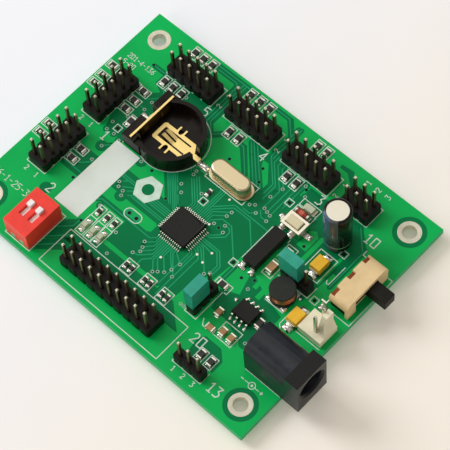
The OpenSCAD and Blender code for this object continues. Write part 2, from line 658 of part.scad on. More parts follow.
module slide_switch_housing() {
    x0 = slide_x[0];
    color("#dcc193") difference() {
        // profile with round upper corners, run along X
        translate([x0, 0, 0]) rotate([90, 0, 90]) linear_extrude(slide_x[1] - x0) hull() {
            translate([slide_y[0], top]) square([slide_y[1] - slide_y[0], 1]);
            for (y = [slide_y[0] + slide_round, slide_y[1] - slide_round])
                translate([y, top + slide_h - slide_round]) circle(slide_round);
        }
        // inside, open towards the terminal plate
        translate([x0 - eps, slide_y[0] + slide_wall, top + 0.6])
            cube([slide_x[1] - x0 - slide_wall, slide_y[1] - slide_y[0] - 2 * slide_wall, slide_h - 1.3]);
        // lever slot
        translate([slide_x[1] - slide_wall - eps, lever_y - lever_travel - lever_w / 2 - 0.1, lever_z[0] - 0.1])
            cube([slide_wall + 1, lever_w + lever_travel + 0.2, lever_z[1] - lever_z[0] + 0.2]);
        // recesses low in both ends, and the lever's slot open down to the board
        for (y = [slide_y[0] - 1, slide_y[1] - 0.5]) translate([x0 - eps, y, top - eps])
            cube([slide_x[1] - x0 - slide_wall, 1.5, 2.7]);
        translate([slide_x[1] - slide_wall - eps, lever_y - lever_travel - lever_w / 2 - 0.1, top - eps])
            cube([slide_wall + 1, lever_w + lever_travel + 0.2, 1.2]);
        // three notches over the terminals
        for (y = slide_terms) translate([x0 - eps, y - 0.95, top + slide_h - 0.8]) cube([1, 1.9, 1]);
    }
}
module slide_switch_terminal_plate() {
    color("#a2451f") translate([slide_x[0], slide_y[0] + slide_wall, top + 0.6])
        cube([plate_x - slide_x[0], slide_y[1] - slide_y[0] - 2 * slide_wall, slide_h - 1.3]);
}
module slide_switch_terminals() {
    tail_x = slide_x[0] - 0.6;
    color("#d8d4c8") for (y = slide_terms) {
        translate([tail_x - 0.15, y - 0.7, top + 1.6]) cube([slide_x[0] - tail_x + 0.15, 1.4, 0.3]);
        translate([tail_x - 0.15, y - 0.25, tail_z]) cube([0.3, 0.5, top + 1.6 - tail_z]);
    }
    // bent lug at the battery connector's end
    color("#d8d4c8") {
        translate([slide_x[0] - 1, slide_y[0] - 1.2, top]) cube([1.4, 0.4, 3.2]);
        translate([slide_x[0] + 0.1, slide_y[0] - 1.2, top + 2.6]) cube([0.3, 1.25, 0.6]);
    }
}
module slide_switch_lever() {
    block_half = 3.15;       // the inner block covers most of the slot
    color("#1c1a19") {
        translate([plate_x + 0.2, lever_y - block_half, top + 0.75])
            cube([slide_x[1] - slide_wall - plate_x - 0.35, 2 * block_half, slide_h - 1.6]);
        translate([plate_x + 1, lever_y - lever_w / 2, lever_z[0]])
            cube([slide_x[1] + lever_l - plate_x - 1, lever_w, lever_z[1] - lever_z[0]]);
    }
}

// ---- battery connector -------------------------------------------------------------------

wafer_x = [33.15, 39.1];
wafer_y = [-6.1, -0.9];
wafer_h = 2.1;
wafer_pins = [[36.6, -4.55], [36.6, -2.01]];
battery_tails = wafer_pins;
wall_x = [36.95, 38.2];
wall_y = [-3, -1];           // at the top
wall_foot = [39.1, -4.8];    // where its outer and -Y faces meet the block
wall_knee = [-4, 4.4];       // -Y face and height where the outer face turns upright
wall_h = 7.3;                // top of the friction wall above the board
module wall_slice(x1, y0, z) {
    translate([wall_x[0], y0, top + z]) cube([x1 - wall_x[0], wall_y[1] - y0, eps]);
}
module battery_connector_housing() {
    color("#efe5c4") difference() {
        union() {
            translate([wafer_x[0], wafer_y[0], top])
                cube([wafer_x[1] - wafer_x[0], wafer_y[1] - wafer_y[0], wafer_h]);
            hull() {
                wall_slice(wall_foot[0], wall_foot[1], wafer_h - eps);
                wall_slice(wall_x[1], wall_knee[0], wall_knee[1]);
            }
            hull() {
                wall_slice(wall_x[1], wall_knee[0], wall_knee[1]);
                wall_slice(wall_x[1], wall_y[0], wall_h - eps);
            }
        }
        for (p = wafer_pins) translate([p[0] - pin_w / 2, p[1] - pin_w / 2, top - eps])
            cube([pin_w, pin_w, wafer_h + 2 * eps]);
    }
}
module battery_connector_pins() {
    color("#cfd0cc") pins(wafer_pins, top + pin_h);
}

// ---- supply jack -------------------------------------------------------------------------

jack_x = [30.8, 41.6, 45];   // back, shoulder, front face
jack_y = -14.9;
jack_axis_z = top + 6.5;
jack_barrel_w = 8.4;
jack_barrel_h = 10.6;        // top of the body behind the front block
jack_barrel_r = 3.6;         // its rounded shoulders
jack_depth = 9.5;
jack_tails = [[31.8, jack_y], [37.6, jack_y], [34.8, jack_y + 3.2]];
module dc_jack_housing() {
    color("#232325") difference() {
        union() {
            translate([jack_x[1], jack_y - jack_w / 2, top]) cube([jack_x[2] - jack_x[1], jack_w, jack_h]);
            translate([jack_x[0], jack_y, top]) rotate([90, 0, 90]) linear_extrude(jack_x[1] - jack_x[0]) hull() {
                translate([-jack_barrel_w / 2, 0]) square([jack_barrel_w, jack_barrel_h / 2]);
                for (s = [-1, 1]) translate([s * (jack_barrel_w / 2 - jack_barrel_r), jack_barrel_h - jack_barrel_r])
                    circle(jack_barrel_r);
            }
        }
        translate([jack_x[2] - jack_depth, jack_y, jack_axis_z]) rotate([0, 90, 0])
            cylinder(d = jack_bore_d, h = jack_depth + eps);
        // lead-in at the mouth
        translate([jack_x[2] - 0.5, jack_y, jack_axis_z]) rotate([0, 90, 0])
            cylinder(d1 = jack_bore_d, d2 = jack_bore_d + 1, h = 0.5 + eps);
        // seat of the centre pin
        translate([jack_x[0] - eps, jack_y, jack_axis_z]) rotate([0, 90, 0])
            cylinder(d = jack_pin_d, h = jack_x[2] - jack_depth - jack_x[0] + 2 * eps);
    }
}
module dc_jack_centre_pin() {
    pin_end = jack_x[2] - 1.2;
    color("#cfd0cc") {
        translate([jack_x[0], jack_y, jack_axis_z]) rotate([0, 90, 0])
            cylinder(d = jack_pin_d, h = pin_end - 0.4 - jack_x[0]);
        translate([pin_end - 0.4, jack_y, jack_axis_z]) rotate([0, 90, 0])
            cylinder(d1 = jack_pin_d, d2 = jack_pin_d - 0.6, h = 0.4);
    }
}
module dc_jack_contacts() {
    color("#d8d4c8") {
        for (p = jack_tails) translate([p[0] - 0.2, p[1] - 0.55, tail_z]) cube([0.4, 1.1, top - tail_z]);
        // strap up the back to the centre pin
        translate([jack_x[0] - 0.3, jack_y - 1.1, top]) cube([0.3, 2.2, jack_axis_z - top + 1.2]);
    }
}

circuit_board();
port_1_header_base();
port_2_header_base();
port_3_header_base();
port_4_header_base();
port_5_header_base();
port_header_pins();
power_header_base();
power_header_pins();
debug_header_base();
debug_header_pins();
serial_header_base();
serial_header_pins();
jumper_header_bases();
jumper_header_pins();
jumper_shunt_1();
jumper_shunt_2();
jumper_contact_1();
jumper_contact_2();
coin_cell_holder_body();
coin_cell_side_contact();
coin_cell_floor_contact();
crystal_can();
crystal_base();
mcu_body();
mcu_leads();
regulator_body();
regulator_leads();
inductor_core();
inductor_winding();
inductor_terminals();
electrolytic_can();
electrolytic_sleeve();
electrolytic_leads();
tantalum_bodies();
tantalum_terminals();
chip_resistor_bodies();
chip_capacitor_bodies();
chip_end_caps();
led_bases();
led_lenses();
glass_diode_body();
watch_crystal_body();
watch_crystal_leads();
dip_switch_housing();
dip_switch_pins();
dip_actuator_1();
dip_actuator_2();
reset_button_frame();
reset_button_plunger();
reset_button_terminals();
slide_switch_housing();
slide_switch_terminal_plate();
slide_switch_terminals();
slide_switch_lever();
battery_connector_housing();
battery_connector_pins();
dc_jack_housing();
dc_jack_centre_pin();
dc_jack_contacts();
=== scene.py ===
import json
import math
import random

import bmesh
import bpy
from mathutils import Matrix, Vector
from mathutils.geometry import tessellate_polygon

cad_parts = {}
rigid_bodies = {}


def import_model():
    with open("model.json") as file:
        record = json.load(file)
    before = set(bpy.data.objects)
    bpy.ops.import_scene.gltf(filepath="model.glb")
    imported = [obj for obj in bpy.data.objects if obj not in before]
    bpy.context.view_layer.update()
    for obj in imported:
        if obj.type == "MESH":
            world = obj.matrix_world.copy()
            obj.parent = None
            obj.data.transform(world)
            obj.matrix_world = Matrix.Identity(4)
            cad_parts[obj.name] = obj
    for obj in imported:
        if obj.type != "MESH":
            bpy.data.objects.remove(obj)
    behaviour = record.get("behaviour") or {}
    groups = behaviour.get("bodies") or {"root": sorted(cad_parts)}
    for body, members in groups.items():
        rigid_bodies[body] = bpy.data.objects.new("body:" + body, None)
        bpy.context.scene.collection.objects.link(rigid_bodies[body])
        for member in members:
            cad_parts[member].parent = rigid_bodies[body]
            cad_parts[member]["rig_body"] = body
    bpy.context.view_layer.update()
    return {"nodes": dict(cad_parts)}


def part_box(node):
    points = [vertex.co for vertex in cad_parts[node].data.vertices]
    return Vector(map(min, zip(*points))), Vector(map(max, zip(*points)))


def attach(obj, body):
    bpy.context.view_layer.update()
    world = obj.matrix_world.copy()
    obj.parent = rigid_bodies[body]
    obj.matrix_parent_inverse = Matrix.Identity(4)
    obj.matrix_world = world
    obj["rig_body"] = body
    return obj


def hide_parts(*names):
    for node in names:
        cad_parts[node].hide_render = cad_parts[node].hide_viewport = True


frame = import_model()
scene = bpy.context.scene
nodes = frame["nodes"]
MM = 0.001
TOP = 1.6                                   # the board's upper face, mm
TABLE_Z = -1.5                              # the table's height: the soldered tails stand on it, mm
TABLE_HALF = 3.0                            # half the table's side, m
HAIR = 0.00002                              # extra height of each piece of artwork over the one before, mm
TURN = 2 * math.pi
rng = random.Random(7)

scene.view_settings.view_transform = "Standard"

# ---------------------------------------------------------------- camera and light

CAMERA_AT = (0.14158, -0.11870, 0.34214)    # m; place, direction and lens were solved from the photo
CAMERA_FORWARD = (-0.35108, 0.31198, -0.88284)
CAMERA_UP = (-0.58603, 0.66215, 0.46704)
CAMERA_LENS = 150.17                        # mm, on a sensor 36 mm wide


def look(obj, position, forward, up):
    """Place a camera or lamp and turn it, with its -Z along forward."""
    f = Vector(forward).normalized()
    r = f.cross(Vector(up)).normalized()
    u = r.cross(f)
    obj.matrix_world = Matrix.Translation(Vector(position)) @ Matrix((r, u, -f)).transposed().to_4x4()


cam = bpy.data.cameras.new("camera")
cam.sensor_width = 36
cam.lens = CAMERA_LENS
cam.clip_start = 0.01
cam_obj = bpy.data.objects.new("camera", cam)
scene.collection.objects.link(cam_obj)
look(cam_obj, CAMERA_AT, CAMERA_FORWARD, CAMERA_UP)
scene.camera = cam_obj


def area(name, position, size, power, colour):
    """Round lamp that looks at the origin; position and size in m, power in W."""
    data = bpy.data.lights.new(name, "AREA")
    data.shape = "DISK"
    data.size = size
    data.energy = power
    data.color = colour
    ob = bpy.data.objects.new(name, data)
    scene.collection.objects.link(ob)
    look(ob, position, -Vector(position), (0, 1, 0.1))


area("window", (-1.15, -0.30, 0.95), 0.9, 15.0, (0.93, 0.96, 1.0))
area("card", (-0.75, 0.50, 2.30), 1.5, 6.5, (1.0, 0.96, 0.88))
area("front", (-0.15, -1.30, 0.70), 0.7, 3.0, (1.0, 0.94, 0.84))
area("lamp", (0.9, 0.9, 1.1), 0.6, 0.4, (1.0, 0.86, 0.68))

world = bpy.data.worlds.new("studio")
scene.world = world
world.use_nodes = True
sky = world.node_tree.nodes["Background"]
sky.inputs["Color"].default_value = (1.0, 0.95, 0.88, 1)
sky.inputs["Strength"].default_value = 0.38

# ---------------------------------------------------------------- materials


def material(name, colour, rough=0.5, metal=0.0, vary=0.12, grain=900.0, bump=0.0, bump_scale=2500.0,
             coat=0.0, spec=0.5):
    """Principled finish whose colour, roughness and fine relief vary with noise in object space."""
    rough_vary = 0.08
    m = bpy.data.materials.new(name)
    m.use_nodes = True
    nt = m.node_tree
    b = nt.nodes["Principled BSDF"]
    b.inputs["Metallic"].default_value = metal
    b.inputs["Coat Weight"].default_value = coat
    b.inputs["Coat Roughness"].default_value = 0.12
    b.inputs["Specular IOR Level"].default_value = spec
    tc = nt.nodes.new("ShaderNodeTexCoord")
    n = nt.nodes.new("ShaderNodeTexNoise")
    n.inputs["Scale"].default_value = grain
    n.inputs["Detail"].default_value = 4
    nt.links.new(tc.outputs["Object"], n.inputs["Vector"])
    ramp = nt.nodes.new("ShaderNodeValToRGB")
    lo = [c * (1 - vary) for c in colour]
    hi = [min(1, c * (1 + vary)) for c in colour]
    ramp.color_ramp.elements[0].position = 0.32
    ramp.color_ramp.elements[0].color = (*lo, 1)
    ramp.color_ramp.elements[1].position = 0.68
    ramp.color_ramp.elements[1].color = (*hi, 1)
    nt.links.new(n.outputs["Fac"], ramp.inputs["Fac"])
    nt.links.new(ramp.outputs["Color"], b.inputs["Base Color"])
    mr = nt.nodes.new("ShaderNodeMapRange")
    mr.inputs["To Min"].default_value = max(0.02, rough - rough_vary)
    mr.inputs["To Max"].default_value = min(1, rough + rough_vary)
    nt.links.new(n.outputs["Fac"], mr.inputs["Value"])
    nt.links.new(mr.outputs["Result"], b.inputs["Roughness"])
    if bump:
        n2 = nt.nodes.new("ShaderNodeTexNoise")
        n2.inputs["Scale"].default_value = bump_scale
        n2.inputs["Detail"].default_value = 3
        nt.links.new(tc.outputs["Object"], n2.inputs["Vector"])
        bp = nt.nodes.new("ShaderNodeBump")
        bp.inputs["Strength"].default_value = bump
        bp.inputs["Distance"].default_value = 0.00005
        nt.links.new(n2.outputs["Fac"], bp.inputs["Height"])
        nt.links.new(bp.outputs["Normal"], b.inputs["Normal"])
    return m


M = {
    "mask": material("mask_over_copper", (0.002, 0.46, 0.095), 0.34, vary=0.08, grain=60, bump=0.10,
                     bump_scale=900, spec=0.10),
    "dark": material("mask_over_laminate", (0.0015, 0.195, 0.062), 0.34, vary=0.08, grain=60, spec=0.06),
    "trace": material("mask_over_track", (0.012, 0.360, 0.145), 0.34, vary=0.08, grain=200, spec=0.12),
    "ring": material("tented_ring", (0.30, 0.48, 0.36), 0.40, vary=0.15, grain=900, bump=0.2),
    "silk": material("legend_ink", (0.64, 0.80, 0.68), 0.6, vary=0.10, grain=700, bump=0.1, spec=0.2),
    "label": material("label_paper", (0.80, 0.87, 0.80), 0.55, vary=0.04, grain=180, bump=0.15, spec=0.2),
    "black": material("header_moulding", (0.0062, 0.0052, 0.0040), 0.42, vary=0.4, grain=700, bump=0.25, spec=0.18),
    "pin": material("gilt_pin", (0.26, 0.175, 0.105), 0.38, 1.0, vary=0.25, grain=600, bump=0.05),
    # painted highlight: a bright copy of the pin metal for the pins' tips
    "tip": material("gilt_pin_tip", (0.88, 0.84, 0.66), 0.32, 1.0, vary=0.15, grain=900, bump=0.1),
    "strip": material("spring_gold", (0.97, 0.74, 0.30), 0.44, 1.0, vary=0.05, grain=400, bump=0.08),
    # painted shade: a darker copy of the spring gold for the side contact's faces towards the cell
    "strip_shade": material("spring_gold_painted_shade", (0.10, 0.065, 0.022), 0.5, 0.8, vary=0.2, grain=500, bump=0.1, spec=0.2),
    "tin": material("tinned_lead", (0.70, 0.69, 0.62), 0.32, 1.0, vary=0.10, grain=900, bump=0.15),
    "solder": material("solder", (0.80, 0.79, 0.74), 0.20, 1.0, vary=0.10, grain=1400, bump=0.30, bump_scale=1800),
    "plating": material("hole_plating", (0.70, 0.67, 0.53), 0.45, 0.3, vary=0.08, grain=900, bump=0.3),
    # painted shade: near-black discs stand in for the shade inside the small drilled holes
    "hole": material("hole_painted_shade", (0.004, 0.010, 0.007), 0.7, vary=0.3, grain=900, spec=0.2),
    "teal": material("shunt_moulding", (0.024, 0.365, 0.255), 0.38, vary=0.10, grain=500, bump=0.15, spec=0.3),
    "holder": material("holder_moulding", (0.0075, 0.0048, 0.0034), 0.28, vary=0.3, grain=500, bump=0.12, spec=0.16),
    "can": material("drawn_steel", (0.66, 0.56, 0.36), 0.36, 1.0, vary=0.05, grain=300, bump=0.06),
    "package": material("moulding_compound", (0.008, 0.008, 0.0062), 0.50, vary=0.25, grain=1500, bump=0.5,
                        bump_scale=5000, spec=0.25),
    "ferrite": material("ferrite", (0.016, 0.018, 0.014), 0.55, vary=0.2, grain=900, bump=0.4, spec=0.3),
    "copper": material("enamelled_wire", (0.62, 0.22, 0.12), 0.30, 1.0, vary=0.15, grain=700),
    "alu": material("drawn_aluminium", (0.76, 0.73, 0.62), 0.36, 1.0, vary=0.05, grain=500, bump=0.1),
    "tantalum": material("tantalum_moulding", (0.98, 0.535, 0.028), 0.42, vary=0.08, grain=700, bump=0.25, spec=0.3),
    "resistor": material("resistor_glaze", (0.012, 0.011, 0.010), 0.30, vary=0.3, grain=900, spec=0.4),
    "ceramic": material("capacitor_ceramic", (0.46, 0.255, 0.105), 0.45, vary=0.12, grain=900, bump=0.15, spec=0.3),
    "led": material("led_laminate", (0.60, 0.62, 0.44), 0.5, vary=0.06, grain=900, spec=0.3),
    "lens": material("led_epoxy", (0.50, 0.56, 0.38), 0.16, vary=0.1, grain=900, coat=0.3),
    "dip": material("dip_moulding", (0.93, 0.045, 0.028), 0.40, vary=0.06, grain=600, bump=0.18, spec=0.35),
    "white": material("actuator_moulding", (0.93, 0.915, 0.89), 0.38, vary=0.04, grain=600, bump=0.1, spec=0.3),
    "frame": material("stamped_frame", (0.72, 0.69, 0.58), 0.28, 1.0, vary=0.06, grain=700, bump=0.1),
    "beige": material("plunger_moulding", (0.78, 0.70, 0.45), 0.40, vary=0.05, grain=700, bump=0.1, spec=0.3),
    "cream": material("switch_moulding", (0.84, 0.62, 0.33), 0.50, vary=0.06, grain=500, bump=0.35, spec=0.25),
    # painted shade: a near-black copy of the switch moulding for the faces inside its recesses
    "inside": material("switch_inside", (0.010, 0.008, 0.006), 0.6, vary=0.3, grain=500, spec=0.2),
    "laminate": material("switch_laminate", (0.26, 0.05, 0.012), 0.5, vary=0.15, grain=900, bump=0.3, spec=0.2),
    "lever": material("lever_moulding", (0.0085, 0.0070, 0.0050), 0.55, vary=0.25, grain=500, bump=0.4, spec=0.2),
    "ivory": material("ivory_moulding", (0.93, 0.86, 0.62), 0.42, vary=0.05, grain=600, bump=0.15, spec=0.3),
    "jack": material("jack_moulding", (0.0052, 0.0058, 0.0062), 0.36, vary=0.25, grain=500, bump=0.08, spec=0.22),
    # painted sheen: a lighter, bluish copy of the jack moulding for its barrel
    "barrel_sheen": material("jack_moulding_painted_sheen", (0.0125, 0.0165, 0.0230), 0.34, vary=0.25, grain=500, bump=0.08, spec=0.30),
    # the board's sides: the laminate's own pale green, painted brighter to stand in for the light on the lit edge
    "edge": material("laminate_edge_painted_light", (0.020, 0.42, 0.150), 0.55, vary=0.15, grain=700, bump=0.4, spec=0.3),
}


def mixed_base(m, other, blend):
    """Blend another colour socket into a material's base colour."""
    nt = m.node_tree
    base = nt.nodes["Principled BSDF"].inputs["Base Color"]
    mix = nt.nodes.new("ShaderNodeMix")
    mix.data_type = "RGBA"
    mix.blend_type = blend
    mix.inputs["Factor"].default_value = 1
    nt.links.new(base.links[0].from_socket, mix.inputs[6])
    nt.links.new(other, mix.inputs[7])
    nt.links.new(mix.outputs[2], base)


def object_axes(m):
    """Separate X, Y, Z of a material's object coordinates."""
    nt = m.node_tree
    sep = nt.nodes.new("ShaderNodeSeparateXYZ")
    nt.links.new(next(n for n in nt.nodes if n.type == "TEX_COORD").outputs["Object"], sep.inputs[0])
    return sep


def banded(m, value, start, end, bands):
    """Add hard-edged bands of colour to a finish, laid along a value that runs from start to end."""
    nt = m.node_tree
    mr = nt.nodes.new("ShaderNodeMapRange")
    mr.inputs["From Min"].default_value, mr.inputs["From Max"].default_value = start, end
    nt.links.new(value, mr.inputs["Value"])
    ramp = nt.nodes.new("ShaderNodeValToRGB")
    ramp.color_ramp.interpolation = "CONSTANT"
    nt.links.new(mr.outputs["Result"], ramp.inputs["Fac"])
    elements = ramp.color_ramp.elements
    while len(elements) < len(bands):
        elements.new(0.5)
    for element, (place, colour) in zip(elements, bands):
        element.position = place
        element.color = (*colour, 1)
    mixed_base(m, ramp.outputs["Color"], "ADD")
    return m


def bands_along_x(name, base, x0, x1, bands):
    """Glossy finish with bands along X between x0 and x1 (mm)."""
    m = material(name, base, 0.22, vary=0.2, grain=600, spec=0.3)
    return banded(m, object_axes(m).outputs["X"], x0 * MM, x1 * MM, bands)


def bands_round(name, base, centre, bands):
    """Glossy finish with bands by angle round a vertical line through centre (mm)."""
    m = material(name, base, 0.22, vary=0.2, grain=600, spec=0.3)
    nt = m.node_tree
    sep = object_axes(m)
    angle = nt.nodes.new("ShaderNodeMath")
    angle.operation = "ARCTAN2"
    for out, zero, slot in (("X", centre[0], 1), ("Y", centre[1], 0)):
        d = nt.nodes.new("ShaderNodeMath")
        d.operation = "SUBTRACT"
        d.inputs[1].default_value = zero * MM
        nt.links.new(sep.outputs[out], d.inputs[0])
        nt.links.new(d.outputs[0], angle.inputs[slot])
    return banded(m, angle.outputs[0], -math.pi, math.pi, bands)


def floor_material():
    """Pale table: cool white that turns cream towards +X, a painted warm light; it also glows faintly, a painted glow
    that lightens the shadows on it.
    """
    m = material("table", (0.86, 0.86, 0.87), 0.6, vary=0.015, grain=25, bump=0.05, bump_scale=1200, spec=0.2)
    nt = m.node_tree
    b = nt.nodes["Principled BSDF"]
    painted_warmth = nt.nodes.new("ShaderNodeValToRGB")
    cool, warm = painted_warmth.color_ramp.elements
    cool.position, cool.color = 0.25, (0.95, 0.96, 1.0, 1)
    warm.position, warm.color = 0.72, (1.0, 0.93, 0.83, 1)
    mr = nt.nodes.new("ShaderNodeMapRange")
    mr.inputs["From Min"].default_value, mr.inputs["From Max"].default_value = -0.08, 0.09
    nt.links.new(object_axes(m).outputs["X"], mr.inputs["Value"])
    nt.links.new(mr.outputs["Result"], painted_warmth.inputs["Fac"])
    mixed_base(m, painted_warmth.outputs["Color"], "MULTIPLY")
    # painted glow: the table emits its own tinted light, which lightens its shadows
    nt.links.new(painted_warmth.outputs["Color"], b.inputs["Emission Color"])
    b.inputs["Emission Strength"].default_value = 0.17
    return m


# ---------------------------------------------------------------- mesh helpers

WELD = 2e-7                                 # corners closer than this are one corner, m
FLAT = math.radians(0.6)                    # faces that meet at less than this are one flat


def arc(x, y, r, angles):
    """Points round x, y at the given angles (radians)."""
    return [(x + r * math.cos(a), y + r * math.sin(a)) for a in angles]


def circle(x, y, r, sides):
    """Corners of a polygon with that many sides, without repeating the first."""
    return arc(x, y, r, [TURN * i / sides for i in range(sides)])


def middle(lo, hi):
    """Middle of a box seen from above."""
    return (lo[0] + hi[0]) / 2, (lo[1] + hi[1]) / 2


def finish_object(name, bm, mats, body="board", smooth=30):
    """Turn a bmesh into an object that rides a body; smooth is the angle of its sharp edges, in degrees."""
    me = bpy.data.meshes.new(name)
    bm.normal_update()
    bm.to_mesh(me)
    bm.free()
    for m in mats:
        me.materials.append(m)
    if smooth is not None:
        for p in me.polygons:
            p.use_smooth = True
        me.set_sharp_from_angle(angle=math.radians(smooth))
    ob = bpy.data.objects.new(name, me)
    scene.collection.objects.link(ob)
    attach(ob, body)
    return ob


def islands(node):
    """Corners (lo, hi) in mm of every separate solid of a CAD node."""
    me = nodes[node].data
    parent = {}
    key = [tuple(round(c, 7) for c in v.co) for v in me.vertices]
    for k in key:
        parent.setdefault(k, k)

    def root(a):
        while parent[a] != a:
            parent[a] = parent[parent[a]]
            a = parent[a]
        return a

    for p in me.polygons:
        a = root(key[p.vertices[0]])
        for i in p.vertices[1:]:
            parent[root(key[i])] = a
    groups = {}
    for k in parent:
        groups.setdefault(root(k), []).append(k)
    out = []
    for pts in groups.values():
        lo = [min(p[i] for p in pts) / MM for i in range(3)]
        hi = [max(p[i] for p in pts) / MM for i in range(3)]
        out.append((lo, hi))
    return sorted(out)


def soften(node, mat, bevel=0.12, segments=2, angle=32, second=None, pick=None):
    """Replace a CAD node by a copy with merged flats and rounded edges.

    bevel is the rounding in mm, given to edges sharper than angle (degrees); second paints the faces
    that pick(centre in mm, normal) chooses.
    """
    src = nodes[node]
    bm = bmesh.new()
    bm.from_mesh(src.data)
    bmesh.ops.remove_doubles(bm, verts=bm.verts, dist=WELD)
    bmesh.ops.dissolve_limit(bm, angle_limit=FLAT, verts=bm.verts, edges=bm.edges)
    if pick:
        for f in bm.faces:
            if pick(f.calc_center_median() / MM, f.normal):
                f.material_index = 1
    mats = [mat] + ([second] if second else [])
    ob = finish_object(node + "_detail", bm, mats, src["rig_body"], 30)
    if bevel:
        md = ob.modifiers.new("edges", "BEVEL")
        md.width = bevel * MM
        md.segments = segments
        md.limit_method = "ANGLE"
        md.angle_limit = math.radians(angle)
        md.harden_normals = True
    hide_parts(node)
    return ob


class Ink:
    """Flat artwork on the board in one mesh: polygons, discs, rings and strokes; mat picks among its finishes."""

    def __init__(self, z):
        self.bm = bmesh.new()
        self.z = z
        self.n = 0

    def height(self):
        """Height of the next piece (m): a hair over the last one, so overlaps never share a plane."""
        self.n += 1
        return (self.z + self.n * HAIR) * MM

    def poly(self, pts, mat=0):
        z = self.height()
        pts = [Vector((x, y, 0)) for x, y in pts]
        vs = [self.bm.verts.new((p.x * MM, p.y * MM, z)) for p in pts]
        for tri in tessellate_polygon([pts]):
            f = self.bm.faces.new([vs[i] for i in tri])
            f.normal_update()
            if f.normal.z < 0:
                f.normal_flip()
            f.material_index = mat

    def disc(self, x, y, r, mat=0, sides=20):
        self.poly(circle(x, y, r, sides), mat)

    def ring(self, x, y, r1, r2, mat=0, sides=40):
        z = self.height()
        rows = [[self.bm.verts.new((px * MM, py * MM, z)) for px, py in circle(x, y, r, sides)] for r in (r1, r2)]
        for i in range(sides):
            j = (i + 1) % sides
            f = self.bm.faces.new((rows[0][i], rows[1][i], rows[1][j], rows[0][j]))
            f.material_index = mat

    def stroke(self, pts, w, mat=0, caps=True):
        """Line of width w through pts; caps rounds its ends and corners."""
        for (x0, y0), (x1, y1) in zip(pts, pts[1:]):
            d = Vector((x1 - x0, y1 - y0))
            nx, ny = -d.y / d.length * w / 2, d.x / d.length * w / 2
            self.poly([(x0 - nx, y0 - ny), (x1 - nx, y1 - ny), (x1 + nx, y1 + ny), (x0 + nx, y0 + ny)], mat)
        if caps:
            for x, y in pts:
                self.disc(x, y, w / 2, mat, 8)

    def done(self, name, mats):
        return finish_object(name, self.bm, mats, "board", None)


DIGITS = {  # strokes on a 2 wide by 4 high grid
    "0": [[(0, 0), (2, 0), (2, 4), (0, 4), (0, 0)]], "1": [[(0.4, 3.2), (1.2, 4), (1.2, 0)], [(0.5, 0), (1.9, 0)]],
    "2": [[(0, 3.3), (0.6, 4), (1.5, 4), (2, 3.3), (2, 2.6), (0, 0), (2, 0)]],
    "3": [[(0, 4), (2, 4), (0.9, 2.4), (2, 1.6), (2, 0.7), (1.4, 0), (0, 0)]],
    "4": [[(1.6, 0), (1.6, 4), (0, 1.2), (2.1, 1.2)]],
    "5": [[(2, 4), (0, 4), (0, 2.3), (1.4, 2.5), (2, 1.8), (2, 0.7), (1.4, 0), (0, 0)]],
    "6": [[(1.8, 4), (0.6, 3), (0, 1.6), (0, 0.6), (0.6, 0), (1.5, 0), (2, 0.7), (2, 1.6), (1.4, 2.2), (0, 1.8)]],
    "-": [[(0.2, 2), (1.8, 2)]], "+": [[(0.2, 2), (1.8, 2)], [(1, 1.1), (1, 2.9)]],
}


def number(ink, text, x, y, height, turned=False, w=0.2, gap=1.45):
    """Numerals centred on x, y; turned ones read along +Y. gap is their spacing in widths of a numeral."""
    s = height / 4
    step = 2 * s * gap
    start = -step * (len(text) - 1) / 2
    for i, c in enumerate(text):
        for line in DIGITS[c]:
            pts = [((px - 1) * s + start + i * step, (py - 2) * s) for px, py in line]
            if turned:
                pts = [(-b, a) for a, b in pts]
            ink.stroke([(x + a, y + b) for a, b in pts], w)


def dome(bm, x, y, lx, ly, h, power, cells=7):
    """Blob of solder on a rounded rectangular pad on top of the board."""
    rows = []
    for j in range(cells + 1):
        row = []
        for i in range(cells + 1):
            a, b = (math.sin((2 * k / cells - 1) * math.pi / 2) for k in (i, j))
            # the square's rim is drawn in to a rounded one
            k = 1 / max(1e-6, (abs(a) ** 6 + abs(b) ** 6) ** (1 / 6))
            m = max(abs(a), abs(b))
            a, b = a * k * m, b * k * m
            hh = h * max(0.0, 1 - m ** power) ** 0.6
            row.append(bm.verts.new(((x + a * lx / 2) * MM, (y + b * ly / 2) * MM, (TOP + hh) * MM)))
        rows.append(row)
    for j in range(cells):
        for i in range(cells):
            bm.faces.new((rows[j][i], rows[j][i + 1], rows[j + 1][i + 1], rows[j + 1][i]))


def lathe(bm, profile, x, y, z, sides):
    """Turned form that stands at x, y, z: profile is (radius, height) pairs in mm."""
    rings = [[bm.verts.new((px * MM, py * MM, (z + h) * MM)) for px, py in circle(x, y, r, sides)]
             for r, h in profile]
    for a, b in zip(rings, rings[1:]):
        for i in range(sides):
            j = (i + 1) % sides
            bm.faces.new((a[i], a[j], b[j], b[i]))


def sweep(bm, path, r, sides):
    """Round wire of radius r along a list of points in mm."""
    pts = [Vector(p) * MM for p in path]
    rings = []
    for i, p in enumerate(pts):
        t = (pts[min(i + 1, len(pts) - 1)] - pts[max(i - 1, 0)]).normalized()
        a = t.cross(Vector((0, 0, 1)))
        a = (a if a.length > 1e-3 else t.cross(Vector((0, 1, 0)))).normalized()
        b = t.cross(a)
        rings.append([bm.verts.new(p + (a * c + b * s) * r * MM) for c, s in circle(0, 0, 1, sides)])
    for a, b in zip(rings, rings[1:]):
        for k in range(sides):
            j = (k + 1) % sides
            bm.faces.new((a[k], a[j], b[j], b[k]))
    bm.faces.new(rings[0])
    bm.faces.new(rings[-1][::-1])


# ---------------------------------------------------------------- the board and its artwork

